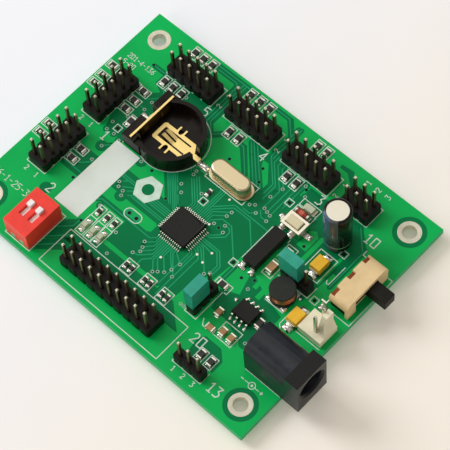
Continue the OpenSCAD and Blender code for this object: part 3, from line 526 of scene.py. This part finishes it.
HOLES = [(sx * 35.55, sy * 25.4) for sx in (-1, 1) for sy in (-1, 1)]     # 71.1 x 50.8 mm apart
CELL = (-15.84, 9.41)                       # middle of the coin-cell holder
BADGE = (-11.5, -2.9)                       # middle of the plain badge
SPARE_HOLES = [(-10.6, -9.4), (-8.6, -9.4)]  # the pair of plated holes in an oval
REGULATOR_Y = -10.3                         # its leads stand on either side of this line
LED_X = (-15.4, -13.1, -11)                 # the three small LEDs and the resistors beside them

# heights over the board's faces, mm
CHANNELS, COPPER, TRACKS, PADS, LEGEND, LABEL, BADGE_HOLE = 0.002, 0.006, 0.009, 0.016, 0.018, 0.022, 0.050
CHANNELS_BELOW, TRACKS_BELOW = -0.015, -0.035

soften("circuit_board", M["mask"], second=M["edge"], pick=lambda c, n: abs(n.z) < 0.5)

# what shows through the mask and where, mm; first the middle lines of the tracks
TRACES = [
    # controller, left side
    [(-4.2, -3.55), (-18.2, -3.55)], [(-4.2, -4.05), (-18.2, -4.05)], [(-4.2, -4.55), (-14, -4.55), (-16.4, -6.2)],
    [(-4.2, -5.05), (-13.4, -5.05), (-15.1, -6.5)], [(-4.2, -5.95), (-12.9, -5.95), (-14.6, -7.5)],
    [(-4.2, -6.45), (-13, -6.45)], [(-17.3, -5.3), (-15.9, -4)],
    [(-4.2, -2.05), (-12.6, 6.3)], [(-4.2, -2.55), (-12.7, 5.9)], [(-4.2, -3.05), (-12.7, 5.4)],
    [(-5.6, -2.3), (-12.8, 4.9)], [(-6.1, -2.35), (-12.9, 4.4)], [(-4.6, -1.1), (-12.5, 6.8)],
    # controller, upper side
    [(-2.35, -0.2), (-2.35, 0.9), (-8.6, 7.1)], [(-1.85, -0.2), (-1.85, 1.1), (-8.1, 7.3)],
    [(-1.35, -0.2), (-1.35, 1.4), (-7.0, 7.0)], [(-0.85, -0.2), (-0.85, 1.7), (-5.6, 6.4)],
    [(-0.35, -0.2), (-0.35, 2.4)], [(0.15, -0.2), (0.15, 7.4)], [(0.65, -0.2), (0.65, 7.4)],
    [(1.15, -0.2), (1.15, 7.4)], [(1.65, -0.2), (1.65, 2.6), (4.9, 5.8), (9.3, 5.8), (13.7, 1.4)],
    [(2.15, -0.2), (2.15, 2.3), (5.1, 4.6)], [(2.65, -0.2), (2.65, 1.6), (4.9, 3.4)],
    [(1.4, 3.2), (4.6, 6.4), (13.8, 6.4)], [(3.15, -0.2), (3.15, 0.6), (4.9, 2.3), (7.4, 2.3), (13.1, -3.3)],
    # controller, right side
    [(4.9, -2.05), (5.6, -2.05), (7.0, -0.6), (7.0, 0.1)],
    [(4.9, -2.55), (5.9, -2.55), (8.1, -0.4), (8.1, 0.9), (7.4, 1.6), (6.3, 1.6)],
    [(4.9, -3.55), (9.5, -3.55), (12, -6.1), (12, -8.6)], [(4.9, -4.05), (9.2, -4.05), (11.4, -6.3), (11.4, -8.2)],
    [(4.9, -4.55), (8.3, -4.9)], [(4.9, -5.05), (6.3, -5.05), (10.6, -9.3)],
    [(4.9, -5.55), (6.1, -5.55), (8.3, -7.6)],
    [(4.9, -6.05), (5.8, -6.05), (7.4, -7.7), (7.4, -18.3)], [(4.9, -6.55), (5.6, -6.55), (6.3, -7.3), (6.3, -19.2)],
    [(4.9, -7.05), (5.7, -7.8), (5.7, -10.8)], [(4.9, -7.55), (5.1, -7.9), (5.1, -17.2)],
    # controller, lower side
    [(-2.35, -9.3), (-2.35, -9.8), (-3.4, -10.8), (-17.2, -10.8), (-17.9, -11.5)],
    [(-1.85, -9.3), (-1.85, -10.6), (-3.4, -12.1)], [(-1.35, -9.3), (-1.35, -11.5), (-2.9, -13.1)],
    [(-0.85, -9.3), (-0.85, -12.3), (-2.6, -14.1)], [(-0.35, -9.3), (-0.35, -13.1), (-2.4, -15.2), (-3.5, -15.5)],
    [(0.15, -9.3), (0.15, -14), (-1.2, -15.4), (-1.2, -17)], [(0.65, -9.3), (0.65, -14), (2.3, -15.8)],
    [(1.15, -9.3), (1.15, -13.2), (3.1, -15.2)], [(1.65, -9.3), (1.65, -11.9), (4.2, -14.4)],
    [(2.15, -9.3), (2.15, -10.4), (4.9, -13)], [(2.65, -9.3), (2.65, -10.2), (5.6, -13.3), (6.2, -14.1)],
    [(3.15, -9.3), (3.15, -9.6), (5.3, -11)],
    # fans between the ports and the middle
    [(3.8, 21), (3.8, 19.3), (7.8, 15.2), (7.8, 11.2)], [(4.9, 20.2), (4.9, 19.2), (9.3, 14.8), (9.3, 10.2)],
    [(10.6, 17.2), (10.6, 9.9)], [(11.6, 19.6), (11.6, 9.6)], [(12.4, 20.2), (12.4, 12.4)],
    [(6.2, 20), (6.2, 19.1), (9.2, 16.1), (9.4, 15.8)], [(-1.6, 20), (5.8, 12.7)], [(-2.6, 20), (4.9, 12.6)],
    [(2.3, 28.6), (2.3, 20), (7.1, 15.2), (7.1, 12.4)], [(3, 28.8), (3, 19.8)],
    [(-10.8, 15.6), (-8.6, 17.8), (-3.6, 17.8), (1.2, 13)], [(-3.2, 19.8), (-1.2, 17.7), (3.9, 12.6)],
    [(-22, 29.2), (-0.8, 29.2), (2.2, 26.2)], [(-20.5, 28.4), (-15.4, 28.4), (-14.6, 27.6), (-14.6, 17.6)],
    [(-13.8, 29), (-13.8, 17.4), (-12.6, 16.2)], [(-13.1, 29), (-13.1, 17.8), (-11.2, 15.9)],
    [(8.9, 7.9), (8, 7), (6.2, 7)], [(11.8, 7.9), (10.4, 7.9), (9.3, 9)],
    # left side, by the ports
    [(-27.3, 12.6), (-25.4, 14.5), (-23.8, 14.5)], [(-26.6, 17.4), (-25, 15.8), (-23.6, 15.8)],
    [(-27.4, 10.7), (-25.8, 10.7)], [(-27.4, 8.1), (-25.8, 8.1)], [(-31.8, 20), (-28.7, 20)],
    [(-27.4, -8.2), (-25, -5.9)], [(-30.2, -9.3), (-24.9, -9.3)], [(-26.3, -1.7), (-24.8, -0.2)],
    [(-19.6, -21.6), (-17.2, -19.2), (-17.2, -17.6)], [(-19.6, -24.6), (-15.6, -20.6)],
    [(-19.6, -27.2), (-15.8, -23.4)],
    # right side, supply
    [(31.6, 16.2), (31.6, 5.2)], [(27.4, 19.6), (31.2, 15.8)], [(20.3, 19.4), (24.2, 15.5)],
    [(12.6, 14.3), (12.6, 15.6)], [(14.2, -4), (14.2, -8.2)],
]
# vias with a pale ring, then the wider and darker ones
VIAS = [(-7, 7), (-6.9, 6), (-2.5, 3.8), (-7.3, 2.7), (-5.9, 1.2), (6.3, 1.5), (4.2, 0.4), (7, 0.1), (5.2, 4.7),
        (5, 3.4), (9, 7.9), (11.9, 7.9), (6.7, 8.5), (7.6, 9.2), (9.6, 9.9), (10.6, 9.6), (11.6, 9.3), (8.7, 12.7),
        (9.4, 15.7), (-3.6, -12.1), (-3, -13.3), (-2.7, -14.3), (-3.7, -15.5), (2.4, -16), (3.2, -15.3),
        (4.3, -14.5), (5, -13.1), (6.2, -14.2), (5.5, -11.1), (-9.5, -14.5), (-7.5, -19.2), (-17.4, -5.5),
        (-16.7, -6.4), (-15.3, -6.6), (-14.8, -7.6), (-16.4, -12.2), (-25.5, -5.5), (-26.3, -1.8), (-25.7, 12.9),
        (-25.7, 10.6), (-28.7, 4), (-28.4, 1.9), (-26.4, 2), (-21, 18.6), (-26, 18.7), (10.6, -9.4), (11.4, -8.5),
        (-17.3, 1), (12.5, 19.4), (14.1, 17.4), (8.6, 17.2), (-27.1, 7), (-24.5, 1.5), (27.3, -15.2), (19.6, -6)]
DARK_VIAS = [(-3.8, 13.7), (4.6, 13.7), (3, 16.6), (13.2, 18.8), (17.6, 17.7), (-14.1, 0.9), (19.3, -3.7),
             (21.6, 8.7), (-32, 20), (-25.4, -11.2), (-16.9, -17.3), (16.9, -5), (5.6, 0.3), (-7.3, -2)]
# round clearings, bright dots, and holes in a square outline
WIDE_CLEARINGS = [(-26.3, -1.8), (-14.8, -7.7), (-17.3, 1), (-28, -16.7), (27.3, -15.2)]
DOTS = [(8.6, -4.9), (8.6, -7.7), (6.5, -7.1), (1.4, -12.5), (2.8, 6.6), (3.6, -0.4)]
SQUARES = [(-26.7, 3.5), (12.6, 14.3), (13.3, -3.5), (28.9, 12.7), (-1, 2.7), (31.35, 1.0)]
# areas without copper, and islands of copper in them
DARK_AREAS = [
    [(-9.6, 7.6), (-4.9, 7.6), (-4.9, 12.4), (5.8, 12.6), (7, 16), (13.6, 17), (13.6, -2.5), (12.9, -9.3),
     (10.2, -9.3), (9.7, -17), (-9.9, -17), (-9.9, -11.4), (-18, -11.4), (-18, -10.1), (-4.8, -10.1), (-4.5, -7.5),
     (-13.5, -7.5), (-14.8, -8.8), (-16.2, -7.5), (-18, -7.5), (-18, -2.2), (-7.4, -2.2), (-13, 3.4)],
    [(-3.9, 19.9), (-1.8, 17.8), (4, 12), (8, 12), (12.9, 14), (13, 20), (3.4, 20), (3.4, 28.9), (1.8, 28.9),
     (1.6, 20)],
    [(-22.5, 29.8), (-0.2, 29.8), (3.2, 26.4), (2.2, 25.6), (-1.2, 28.8), (-12.2, 28.8), (-12.2, 17.6), (-10.4, 15.9),
     (-8.2, 18.5), (-3.2, 18.5), (1.9, 13.2), (0.8, 12.4), (-4, 17.1), (-8, 17.1), (-11, 14), (-15.4, 17),
     (-15.4, 28.8), (-22.5, 28.8)],
    [(-30.3, 14.6), (-27.4, 14.6), (-25.4, 16.6), (-23.4, 16.6), (-23.4, 1.9), (-28.9, 1.9), (-30.3, 5.2)],
    [(-30.2, -4.1), (-24.8, -4.1), (-24.8, -10.4), (-30.2, -10.4)],
    [(-28.6, 20.2), (-28.6, 17), (-25.4, 15.6), (-14.6, 15.6), (-14.6, 20.2)],
    [(-19.7, -19.4), (-16.6, -16.6), (-16.6, -21), (-19.7, -24.1)],
    [(-19.7, -25.6), (-15.4, -21.2), (-14, -24), (-19.7, -28.6)],
    [(-16.8, -20.3), (-16.8, -22.6), (15.6, -22.6), (12.9, -20.3), (10.2, -18), (-5.5, -18)],
    [(-9.9, -18), (-3.6, -18), (-3.6, -20), (-9.9, -20)],
    [(13.6, 19.8), (13.6, -1.4), (15.4, -1.4), (19, 6.6), (24.2, 4), (24.2, -1), (29.5, -1), (30.2, 8), (32.2, 8),
     (32.2, 16), (27.6, 20.1)],
    [(17.4, -2.2), (22.8, -4.6), (28.8, -6.2), (28.8, -12), (26.9, -15.9), (20.6, -13.9), (17, -14), (15.4, -9.6),
     (19.2, -8)],
    [(19.4, -20.5), (20.4, -19.2), (24.6, -19.2), (26.8, -21.2), (26.8, -24.2), (20, -24.2)],
    [(14.8, 28.3), (17.8, 28.6), (19.6, 26.8), (19.6, 25.4), (17, 27.4), (14.8, 27.4)],
]
LIGHT_AREAS = [
    [(-9.6, 13.9), (-8, 16.2), (-3.6, 16.2), (-1.9, 14.4), (-2.8, 12.9), (-5.2, 12.9), (-6.4, 10.6), (-8.2, 11.4)],
    [(1.6, 18.2), (3.1, 18.3), (6.2, 14.6), (6.2, 13), (4.8, 12.9)],
    [(20.1, 8), (22.6, 8), (22.6, 12), (21.4, 13), (20.1, 12.2)],
    [(22.9, 6), (23.9, 6), (23.9, 13.2), (25, 15), (22.9, 12.4)],
    [(15.5, -4.3), (18.2, -4.3), (18.2, -7.2), (15.5, -7.2)], [(21.8, -2), (22.9, -2), (22.9, -6.4), (21.8, -6.4)],
    [(19.9, -1.4), (20.9, -1.4), (20.9, -5), (19.9, -5)], [(-9.6, -12), (-9.6, -11.9), (-9.4, -11.9)],
    [(-4.2, -7.8), (-7.4, -7.8), (-7.4, -9.8), (-4.2, -9.8)], [(28.8, 4), (29.6, 4), (29.6, 12.2), (28.8, 11.4)],
]

dark = Ink(TOP + CHANNELS)
for a in DARK_AREAS:
    dark.poly(a)
for t in TRACES:
    dark.stroke(t, 1.15)
for x, y in VIAS:
    dark.disc(x, y, 0.85)
for x, y in WIDE_CLEARINGS:
    dark.disc(x, y, 1.35, sides=28)
for x, y in HOLES[:1] + HOLES[2:]:          # the upper left hole has no ring
    dark.ring(x, y, 1.62, 3.6)
dark.done("mask_channels", [M["dark"]])

light = Ink(TOP + COPPER)
for a in LIGHT_AREAS:
    light.poly(a)
light.done("mask_copper_areas", [M["mask"]])

tracks = Ink(TOP + TRACKS)
for t in TRACES:
    tracks.stroke(t, 0.24)
tracks.done("mask_tracks", [M["trace"]])

# the holes of vias and pads are flat discs painted as the shade inside them
TIN, HOLE_SHADE, TRACK, PLATING, RING = range(5)
pads = Ink(TOP + PADS)
for x, y in VIAS:
    pads.ring(x, y, 0.17, 0.40, RING, 20)
    pads.disc(x, y, 0.19, HOLE_SHADE, 12)
for x, y in DARK_VIAS:
    pads.ring(x, y, 0.34, 0.44, TRACK, 20)
    pads.disc(x, y, 0.34, HOLE_SHADE, 14)
for x, y in DOTS:
    pads.disc(x, y, 0.27, TIN)
for x, y in SQUARES:
    pads.disc(x, y, 0.42, HOLE_SHADE, 16)
for x, y in SPARE_HOLES:
    pads.ring(x, y, 0.42, 0.8, TRACK, 24)
    pads.disc(x, y, 0.42, HOLE_SHADE, 20)
for x, y in HOLES:
    pads.ring(x, y, 1.6, 2.55, PLATING, 48)
for x in (11.7, 12.6):
    pads.ring(x, -17.4, 0.18, 0.4, RING, 16)
pads.done("plated_pads", [M["tin"], M["hole"], M["trace"], M["plating"], M["ring"]])

# ---------------------------------------------------------------- legend

LINE = 0.2                                  # width of the legend's lines, mm


def box_line(x0, y0, x1, y1):
    """Closed outline between two corners."""
    return [(x0, y0), (x1, y0), (x1, y1), (x0, y1), (x0, y0)]


def around(x, y, a, b):
    """Box of half sides a, b round a middle."""
    return box_line(x - a, y - b, x + a, y + b)


OUTLINES = [
    [(-28.6, 22), (-28.6, 20.4), (-15.6, 20.4), (-15.6, 25.7), (-16.6, 25.7)],
    [(-12, 21.2), (-12, 20.4), (1, 20.4), (1, 25.7), (0.2, 25.7)],
    [(4.4, 21.2), (4.4, 20.4), (17.4, 20.4), (17.4, 25.7), (16.6, 25.7)],
    [(20.2, 20.4), (28.2, 20.4), (28.2, 25.7), (27.4, 25.7)],
    [(-35.8, 2.4), (-35.8, 1.6), (-30.5, 1.6), (-30.5, 14.7), (-31.3, 14.7)],
    [(-35.8, -13.8), (-35.8, -14.6), (-30.5, -14.6), (-30.5, -1.6), (-31.3, -1.6)],
    box_line(-17, -29.4, 16.4, -20.15), [(19, -24.8), (19, -27.5), (26.6, -27.5), (26.6, -24.8)],
    [(13.2, -10), (13.2, -17.9), (16.3, -17.9), (16.3, -10)],
    [(13.4, -9.6), (13.4, -7.8), (17.2, -7.8), (17.2, -9.8), (16.6, -9.8)],
    [(29.9, 3.3), (29.9, 0.4), (22, 0.4)], box_line(24.6, 4.2, 29.1, 10.6),
    [(23.7, -5.3), (28.4, -5.3), (28.4, -4.4)], [(29.5, -3), (29.5, -7.4), (30.2, -8)],
    [(13.8, 7.9), (13.8, -1.4)], [(18.6, 7.9), (18.6, 7.2)], box_line(19, -1.3, 21.4, 2.7),
    [(19, 3.4), (19, 7.1), (21.5, 7.1), (21.5, 6.2)],
    [(17.4, -16.6), (18.2, -17.9), (25.7, -17.9), (25.7, -14.1), (21.3, -14.1), (21.3, -16.6)],
    [(31, -13), (31, -19.1), (40.1, -19.1)], [(33, -6.5), (39.2, -6.5)],
    [(31.9, 16.4), (31.9, 15.2), (34, 15.2)], [(39.2, 14.6), (40.2, 14.6), (40.2, 1.3), (33.4, 1.3)],
    [(31.1, 10.6), (31.1, 5.6), (30.6, 5.4), (30.2, 6.1)], box_line(-4.9, 7.3, 5.6, 12.6),
    arc(*CELL, 7.9, map(math.radians, range(0, 361, 4))), [(-23.6, 1.9), (-20.6, 1.9)],
    box_line(-26.9, -29.5, -19.9, -18.75), [(14.2, 12.8), (14.2, 15.1), (19.1, 15.1), (19.1, 13)],
    box_line(14.3, 15.4, 19.0, 17.1),
]
ink = Ink(TOP + LEGEND)
for line in OUTLINES:
    ink.stroke(line, LINE)
for x, y in SQUARES:
    ink.stroke(around(x, y, 0.75, 0.75), LINE)
ink.stroke(arc(*SPARE_HOLES[0], 1.15, map(math.radians, range(90, 271, 15))) +
           arc(*SPARE_HOLES[1], 1.15, map(math.radians, range(-90, 91, 15))) + [(-10.6, -8.25)], 0.22)
# boxes round the chips
for lo, hi in islands("chip_resistor_bodies"):
    cx, cy = middle(lo, hi)
    wide = hi[0] - lo[0] > hi[1] - lo[1]
    if abs(hi[2] - lo[2] - 0.5) > 0.02 or cx > 12:      # only the 0.5 mm high ones, and none by the supply
        continue
    ink.stroke(around(cx, cy, 1.55, 0.95) if wide else around(cx, cy, 0.95, 1.55), LINE)
for xs, half, y0, y1 in (((-1.9, 3.3, 8.1), 1.4, -19.95, -16.85), (LED_X, 0.85, -15, -11.9),
                         (LED_X, 0.95, -19.7, -15), ((22.5, 25.1), 0.95, -24.2, -21.4)):
    for x in xs:
        ink.stroke(box_line(x - half, y0, x + half, y1), LINE)
# numerals
for text, x, y in (("5", -15.4, 18.8), ("4", 1.0, 18.8), ("3", 17, 18.9), ("1", -27.6, 0.5), ("2", -27.2, -16),
                   ("10", 31.1, 18.8), ("20", 19.9, -20.9), ("13", 29.6, -26.5)):
    number(ink, text, x, y, 2.2, w=0.27, gap=1.6)
for x, y in ((-14.3, 24.8), (2.3, 24.8), (18.6, 24.8)):
    number(ink, "1", x, y, 1.1, True, 0.18)
    number(ink, "2", x, y - 3.1, 1.1, True, 0.18)
for y in (0.4, -15.9):
    number(ink, "2", -34.5, y, 1.1, w=0.18)
    number(ink, "1", -31.7, y, 1.1, w=0.18)
for i, c in enumerate("123"):
    number(ink, c, 20.3 + 2.6 * i, -28.6, 1.1, w=0.18)
    number(ink, c, 21.8 + 2.6 * i, 28.6, 1.2, True, 0.18)
# plain figures where the board carries its maker's lines
number(ink, "201-4-136", -34.2, 18.5, 1.15, w=0.15, gap=1.5)
number(ink, "5-20", -36.2, 16.6, 1.15, w=0.15, gap=1.5)
number(ink, "46-1-25-3", -34.6, -20.4, 1.5, w=0.16, gap=1.5)
# polarity sign beside the supply jack
number(ink, "-", 32, -21, 1.4)
number(ink, "+", 37, -21, 1.4)
ink.stroke([(32.7, -21), (33.7, -21)], 0.16)
ink.stroke([(35.1, -21), (36.3, -21)], 0.16)
ink.ring(34.5, -21, 0.65, 0.82)
ink.disc(34.5, -21, 0.28)
# plain badge: a hexagonal nut
ink.poly(circle(*BADGE, 3.3, 6))
ink.done("legend", [M["silk"]])
badge = Ink(TOP + BADGE_HOLE)
badge.disc(*BADGE, 1.35, sides=40)
badge.done("badge_hole", [M["dark"]])
label = Ink(TOP + LABEL)
label.poly([(-24.8, -17.3), (-18, -17.3), (-18, 1.4), (-24.8, 1.4)])
label.done("blank_label", [M["label"]])

# ---------------------------------------------------------------- plating, solder, underside

# a thin sleeve in each mounting hole, with a flat rim on both faces
bm = bmesh.new()
for x, y in HOLES:
    lathe(bm, [(2.55, -0.03), (1.75, -0.03), (1.58, 0.0), (1.58, TOP), (1.75, TOP + 0.03), (2.55, TOP + 0.03)],
          x, y, 0, 48)
finish_object("mounting_hole_plating", bm, [M["plating"]], "board", 40)

PIN_NODES = ["port_header_pins", "power_header_pins", "debug_header_pins", "serial_header_pins",
             "jumper_header_pins", "battery_connector_pins", "electrolytic_leads"]
tails = []                                  # middle and radius of every soldered tail, mm
for n in PIN_NODES:
    tails += [(*middle(lo, hi), 0.45) for lo, hi in islands(n)]
# one tail for each group of corners below the board
for n in ("dip_switch_pins", "slide_switch_terminals", "dc_jack_contacts"):
    low = [(v.co.x / MM, v.co.y / MM) for v in nodes[n].data.vertices if v.co.z < -0.001]
    for x, y in low:
        if all(math.hypot(x - t[0], y - t[1]) > 1.0 for t in tails):
            near = [q for q in low if math.hypot(q[0] - x, q[1] - y) < 1.4]
            tails.append((sum(a for a, _ in near) / len(near), sum(b for _, b in near) / len(near),
                          0.9 if n == "dc_jack_contacts" else 0.5))
tails += [(0.4 + side * 2.44, 9.85, 0.4) for side in (-1, 1)]     # the main crystal's wires
bm = bmesh.new()
for x, y, r in tails:
    k = rng.uniform(0.9, 1.08)
    lathe(bm, [(0.0, -1.05 * k), (0.34, -1.02 * k), (0.44, -0.55 * k), (r + 0.22, -0.14), (r + 0.45, -0.03),
               (r + 0.47, 0.0)], x, y, 0, 16)
finish_object("solder_joints_below", bm, [M["solder"]], "board", 60)

# the hidden underside repeats the tracks of the top, mirrored and a little smaller
for name, height, width, mat in (("mask_channels_below", CHANNELS_BELOW, 1.1, "dark"),
                                 ("mask_tracks_below", TRACKS_BELOW, 0.26, "trace")):
    under = Ink(height)
    for t in TRACES:
        under.stroke([(1.1 - x * 0.97, y * 0.94 - 0.4) for x, y in t], width, caps=False)
    ob = under.done(name, [M[mat]])
    for p in ob.data.polygons:
        p.flip()

bm = bmesh.new()
for lo, hi in islands("chip_end_caps"):
    lx, ly = hi[0] - lo[0], hi[1] - lo[1]
    dome(bm, *middle(lo, hi), lx + (0.5 if lx < ly else 0.12), ly + (0.5 if ly <= lx else 0.12),
         0.26 + rng.uniform(-0.04, 0.06), 3)
finish_object("chip_solder", bm, [M["solder"]], "board", 60)

bm = bmesh.new()
# x, y, length, width and height of the larger solder joints, mm
BLOBS = [(31.3, -7.15, 2.3, 1.9, 0.75), (27.1, 4.75, 2.4, 1.3, 0.5), (27.1, 9.9, 2.2, 1.2, 0.5),
         (31.4, -1.9, 2.3, 1.1, 0.5), (15.2, -3.1, 2.0, 1.5, 0.65), (17.7, -2.9, 1.5, 1.5, 0.6),
         (15.2, 8.6, 1.6, 1.2, 0.4), (17.8, 8.6, 1.6, 1.2, 0.4), (24.2, -4.6, 1.7, 1.3, 0.5),
         (27.9, -4.5, 1.7, 1.3, 0.5), (28.9, -0.7, 0.9, 0.8, 0.5), (-6.5, 8.7, 3.4, 1.7, 0.9),
         (-24.7, 9.4, 1.4, 1.5, 0.35), (13.4, 11.1, 0.9, 1.3, 0.4), (21.1, 10.9, 1.4, 1.3, 0.4),
         (19.5, -9.3, 0.9, 0.9, 0.4)]
BLOBS += [(x, y, 1.35, 0.95, 0.34) for y in (-16.2, -18.8) for x in LED_X]
BLOBS += [(33.6, 0.6, 1.9, 1.2, 0.6), (22.7, 14.4, 0.9, 0.8, 0.3)]
for x, y, lx, ly, h in BLOBS:
    dome(bm, x, y, lx, ly, h, 2.4, 9)
for lo, hi in islands("regulator_leads"):
    x, y = middle(lo, hi)
    dome(bm, x, hi[1] - 0.2 if y > REGULATOR_Y else lo[1] + 0.2, 0.62, 0.8, 0.24, 2.4, 5)
finish_object("solder_fillets", bm, [M["solder"]], "board", 60)

# ---------------------------------------------------------------- copies of the CAD nodes

PIN_HIGHLIGHT_Z = 9.4                             # above this the pins are painted brighter, a painted highlight on their tips
JACK_SHEEN_END_X = 41.7                        # up to here the jack's housing is its barrel, painted bluish as a painted sheen

for i in range(1, 6):
    soften(f"port_{i}_header_base", M["black"], 0.1, 2)
for n in ("power_header_base", "debug_header_base", "serial_header_base", "jumper_header_bases"):
    soften(n, M["black"], 0.1, 2)
for n in ("port_header_pins", "power_header_pins", "debug_header_pins", "serial_header_pins", "jumper_header_pins"):
    # the pins' tips take the painted highlight
    soften(n, M["pin"], 0.04, 1, 20, second=M["tip"], pick=lambda c, n: c.z > PIN_HIGHLIGHT_Z)
for i in (1, 2):
    soften(f"jumper_shunt_{i}", M["teal"], 0.16, 3)
    soften(f"jumper_contact_{i}", M["pin"], 0, 1)
soften("coin_cell_holder_body", M["holder"], 0.16, 3, 40)
ob = soften("coin_cell_side_contact", M["strip"], 0.06, 2, second=M["tin"], pick=lambda c, n: c.x < -21.9)
ob.data.materials.append(M["strip_shade"])                       # its face towards the cell is painted darker, a painted shade on the gold strip
for p in ob.data.polygons:
    if p.normal.x > 0.4:
        p.material_index = 2
soften("coin_cell_floor_contact", M["strip"], 0.04, 2, second=M["tin"], pick=lambda c, n: c.x > -8.0)
soften("crystal_can", M["can"], 0.55, 5, 50)
soften("crystal_base", M["can"], 0.1, 2, 50)
soften("mcu_body", M["package"], 0.05, 1, 20)
soften("mcu_leads", M["tin"], 0.02, 1, 25)
soften("regulator_body", M["package"], 0.05, 1, 20)
soften("regulator_leads", M["tin"], 0.03, 1, 25)
soften("inductor_core", M["ferrite"], 0.14, 3, 50)
soften("inductor_terminals", M["tin"], 0.05, 2)
soften("electrolytic_can", M["alu"], 0.04, 2, 50)
soften("electrolytic_leads", M["tin"], 0, 1)
soften("tantalum_bodies", M["tantalum"], 0.08, 2, 20)
soften("tantalum_terminals", M["tin"], 0.04, 1, 25)
soften("chip_resistor_bodies", M["resistor"], 0.03, 1)
soften("chip_capacitor_bodies", M["ceramic"], 0.06, 2)
soften("chip_end_caps", M["tin"], 0.06, 2)
soften("led_bases", M["led"], 0.03, 1)
soften("led_lenses", M["lens"], 0.06, 2, 20)
diode_glass = bands_along_x("diode_glass", (0.30, 0.050, 0.030), 15.4, 17.9,
                            [(0, (0.10, 0, 0)), (0.25, (0.42, 0.11, 0.07)), (0.62, (0.12, 0, 0)),
                             (0.76, (-0.27, -0.04, -0.02))])
soften("glass_diode_body", diode_glass, 0.1, 3, 50)
soften("watch_crystal_body", M["package"], 0.08, 2, 20)
soften("watch_crystal_leads", M["tin"], 0.05, 1, 25)
soften("dip_switch_housing", M["dip"], 0.16, 3)
soften("dip_switch_pins", M["tin"], 0.03, 1)
for i in (1, 2):
    soften(f"dip_actuator_{i}", M["white"], 0.12, 3)
soften("reset_button_frame", M["frame"], 0.12, 3)
soften("reset_button_plunger", M["beige"], 0.14, 3)
soften("reset_button_terminals", M["tin"], 0.08, 2)
# the faces inside the housing's recesses take the painted shade, the rest the cream moulding
soften("slide_switch_housing", M["cream"], 0.2, 3, second=M["inside"],
       pick=lambda c, n: 35.3 < c.x < 38.9 and 2.5 < c.y < 14.1 and 1.9 < c.z < 6.3)
soften("slide_switch_terminal_plate", M["laminate"], 0.05, 1)
soften("slide_switch_terminals", M["tin"], 0.05, 1)
soften("slide_switch_lever", M["lever"], 0.3, 3)
soften("battery_connector_housing", M["ivory"], 0.14, 3)
soften("battery_connector_pins", M["tin"], 0.04, 1, 20)
# the barrel takes the painted bluish sheen, the front block the plain moulding
soften("dc_jack_housing", M["jack"], 0.25, 3, 40, second=M["barrel_sheen"],
       pick=lambda c, n: c.x < JACK_SHEEN_END_X)
soften("dc_jack_centre_pin", M["tin"], 0.05, 2, 20)
soften("dc_jack_contacts", M["tin"], 0.03, 1)

# ---------------------------------------------------------------- inductor winding

lo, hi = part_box("inductor_winding")
cx, cy = (lo.x + hi.x) / 2 / MM, (lo.y + hi.y) / 2 / MM
z0, z1 = lo.z / MM, hi.z / MM
R, wire = (hi.x - lo.x) / 2 / MM, 0.17      # radii of the winding and of its wire, mm
STEPS = 36                                  # points in one turn
bm = bmesh.new()
turns = int((z1 - z0) / (2 * wire))
path = []
for i in range(turns * STEPS + 1):
    a = TURN * turns * i / (turns * STEPS)
    path.append((cx + (R - wire) * math.cos(a), cy + (R - wire) * math.sin(a),
                 z0 + wire + (z1 - z0 - 2 * wire) * a / (TURN * turns)))
sweep(bm, path, wire, 10)
lathe(bm, [(1.2, 0), (R - 1.6 * wire, 0), (R - 1.6 * wire, z1 - z0), (1.2, z1 - z0)], cx, cy, z0, STEPS)
ob = finish_object("inductor_turns", bm, [M["copper"]], "board", 60)
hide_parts("inductor_winding")

# ---------------------------------------------------------------- electrolytic sleeve

lo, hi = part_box("electrolytic_sleeve")
cx, cy = (lo.x + hi.x) / 2 / MM, (lo.y + hi.y) / 2 / MM
R, z0, z1 = (hi.x - lo.x) / 2 / MM, lo.z / MM, hi.z / MM
H = z1 - z0
# The blue and grey bands are the sleeve's stripe; the blue band's lighter blue is a painted highlight on the side
# towards the window lamp.
sleeve = bands_round("capacitor_sleeve_stripe_and_sheen", (0.004, 0.006, 0.005), (cx, cy),
                     [(0, (0, 0, 0)), (0.12, (0.060, 0.110, 0.190)), (0.264, (0.085, 0.088, 0.095)),
                      (0.366, (0, 0, 0))])
bm = bmesh.new()
lathe(bm, [(R - 0.5, 0.02), (R - 0.12, 0), (R - 0.02, 0.1), (R, 0.3), (R, 0.95), (R - 0.12, 1.1), (R - 0.22, 1.35),
           (R - 0.12, 1.6), (R, 1.75), (R, H - 0.45), (R - 0.08, H - 0.15), (R - 0.28, H), (R - 0.62, H - 0.01),
           (R - 0.66, H - 0.09), (R - 0.6, H - 0.14)], cx, cy, z0, 56)
ob = finish_object("electrolytic_sleeve_detail", bm, [sleeve], "board", 60)
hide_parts("electrolytic_sleeve")

bm = bmesh.new()
bm.faces.new([bm.verts.new((x * TABLE_HALF, y * TABLE_HALF, TABLE_Z * MM))
              for x, y in ((-1, -1), (1, -1), (1, 1), (-1, 1))])
me = bpy.data.meshes.new("table")
bm.to_mesh(me)
bm.free()
me.materials.append(floor_material())
table = bpy.data.objects.new("table", me)
scene.collection.objects.link(table)

bpy.context.view_layer.update()
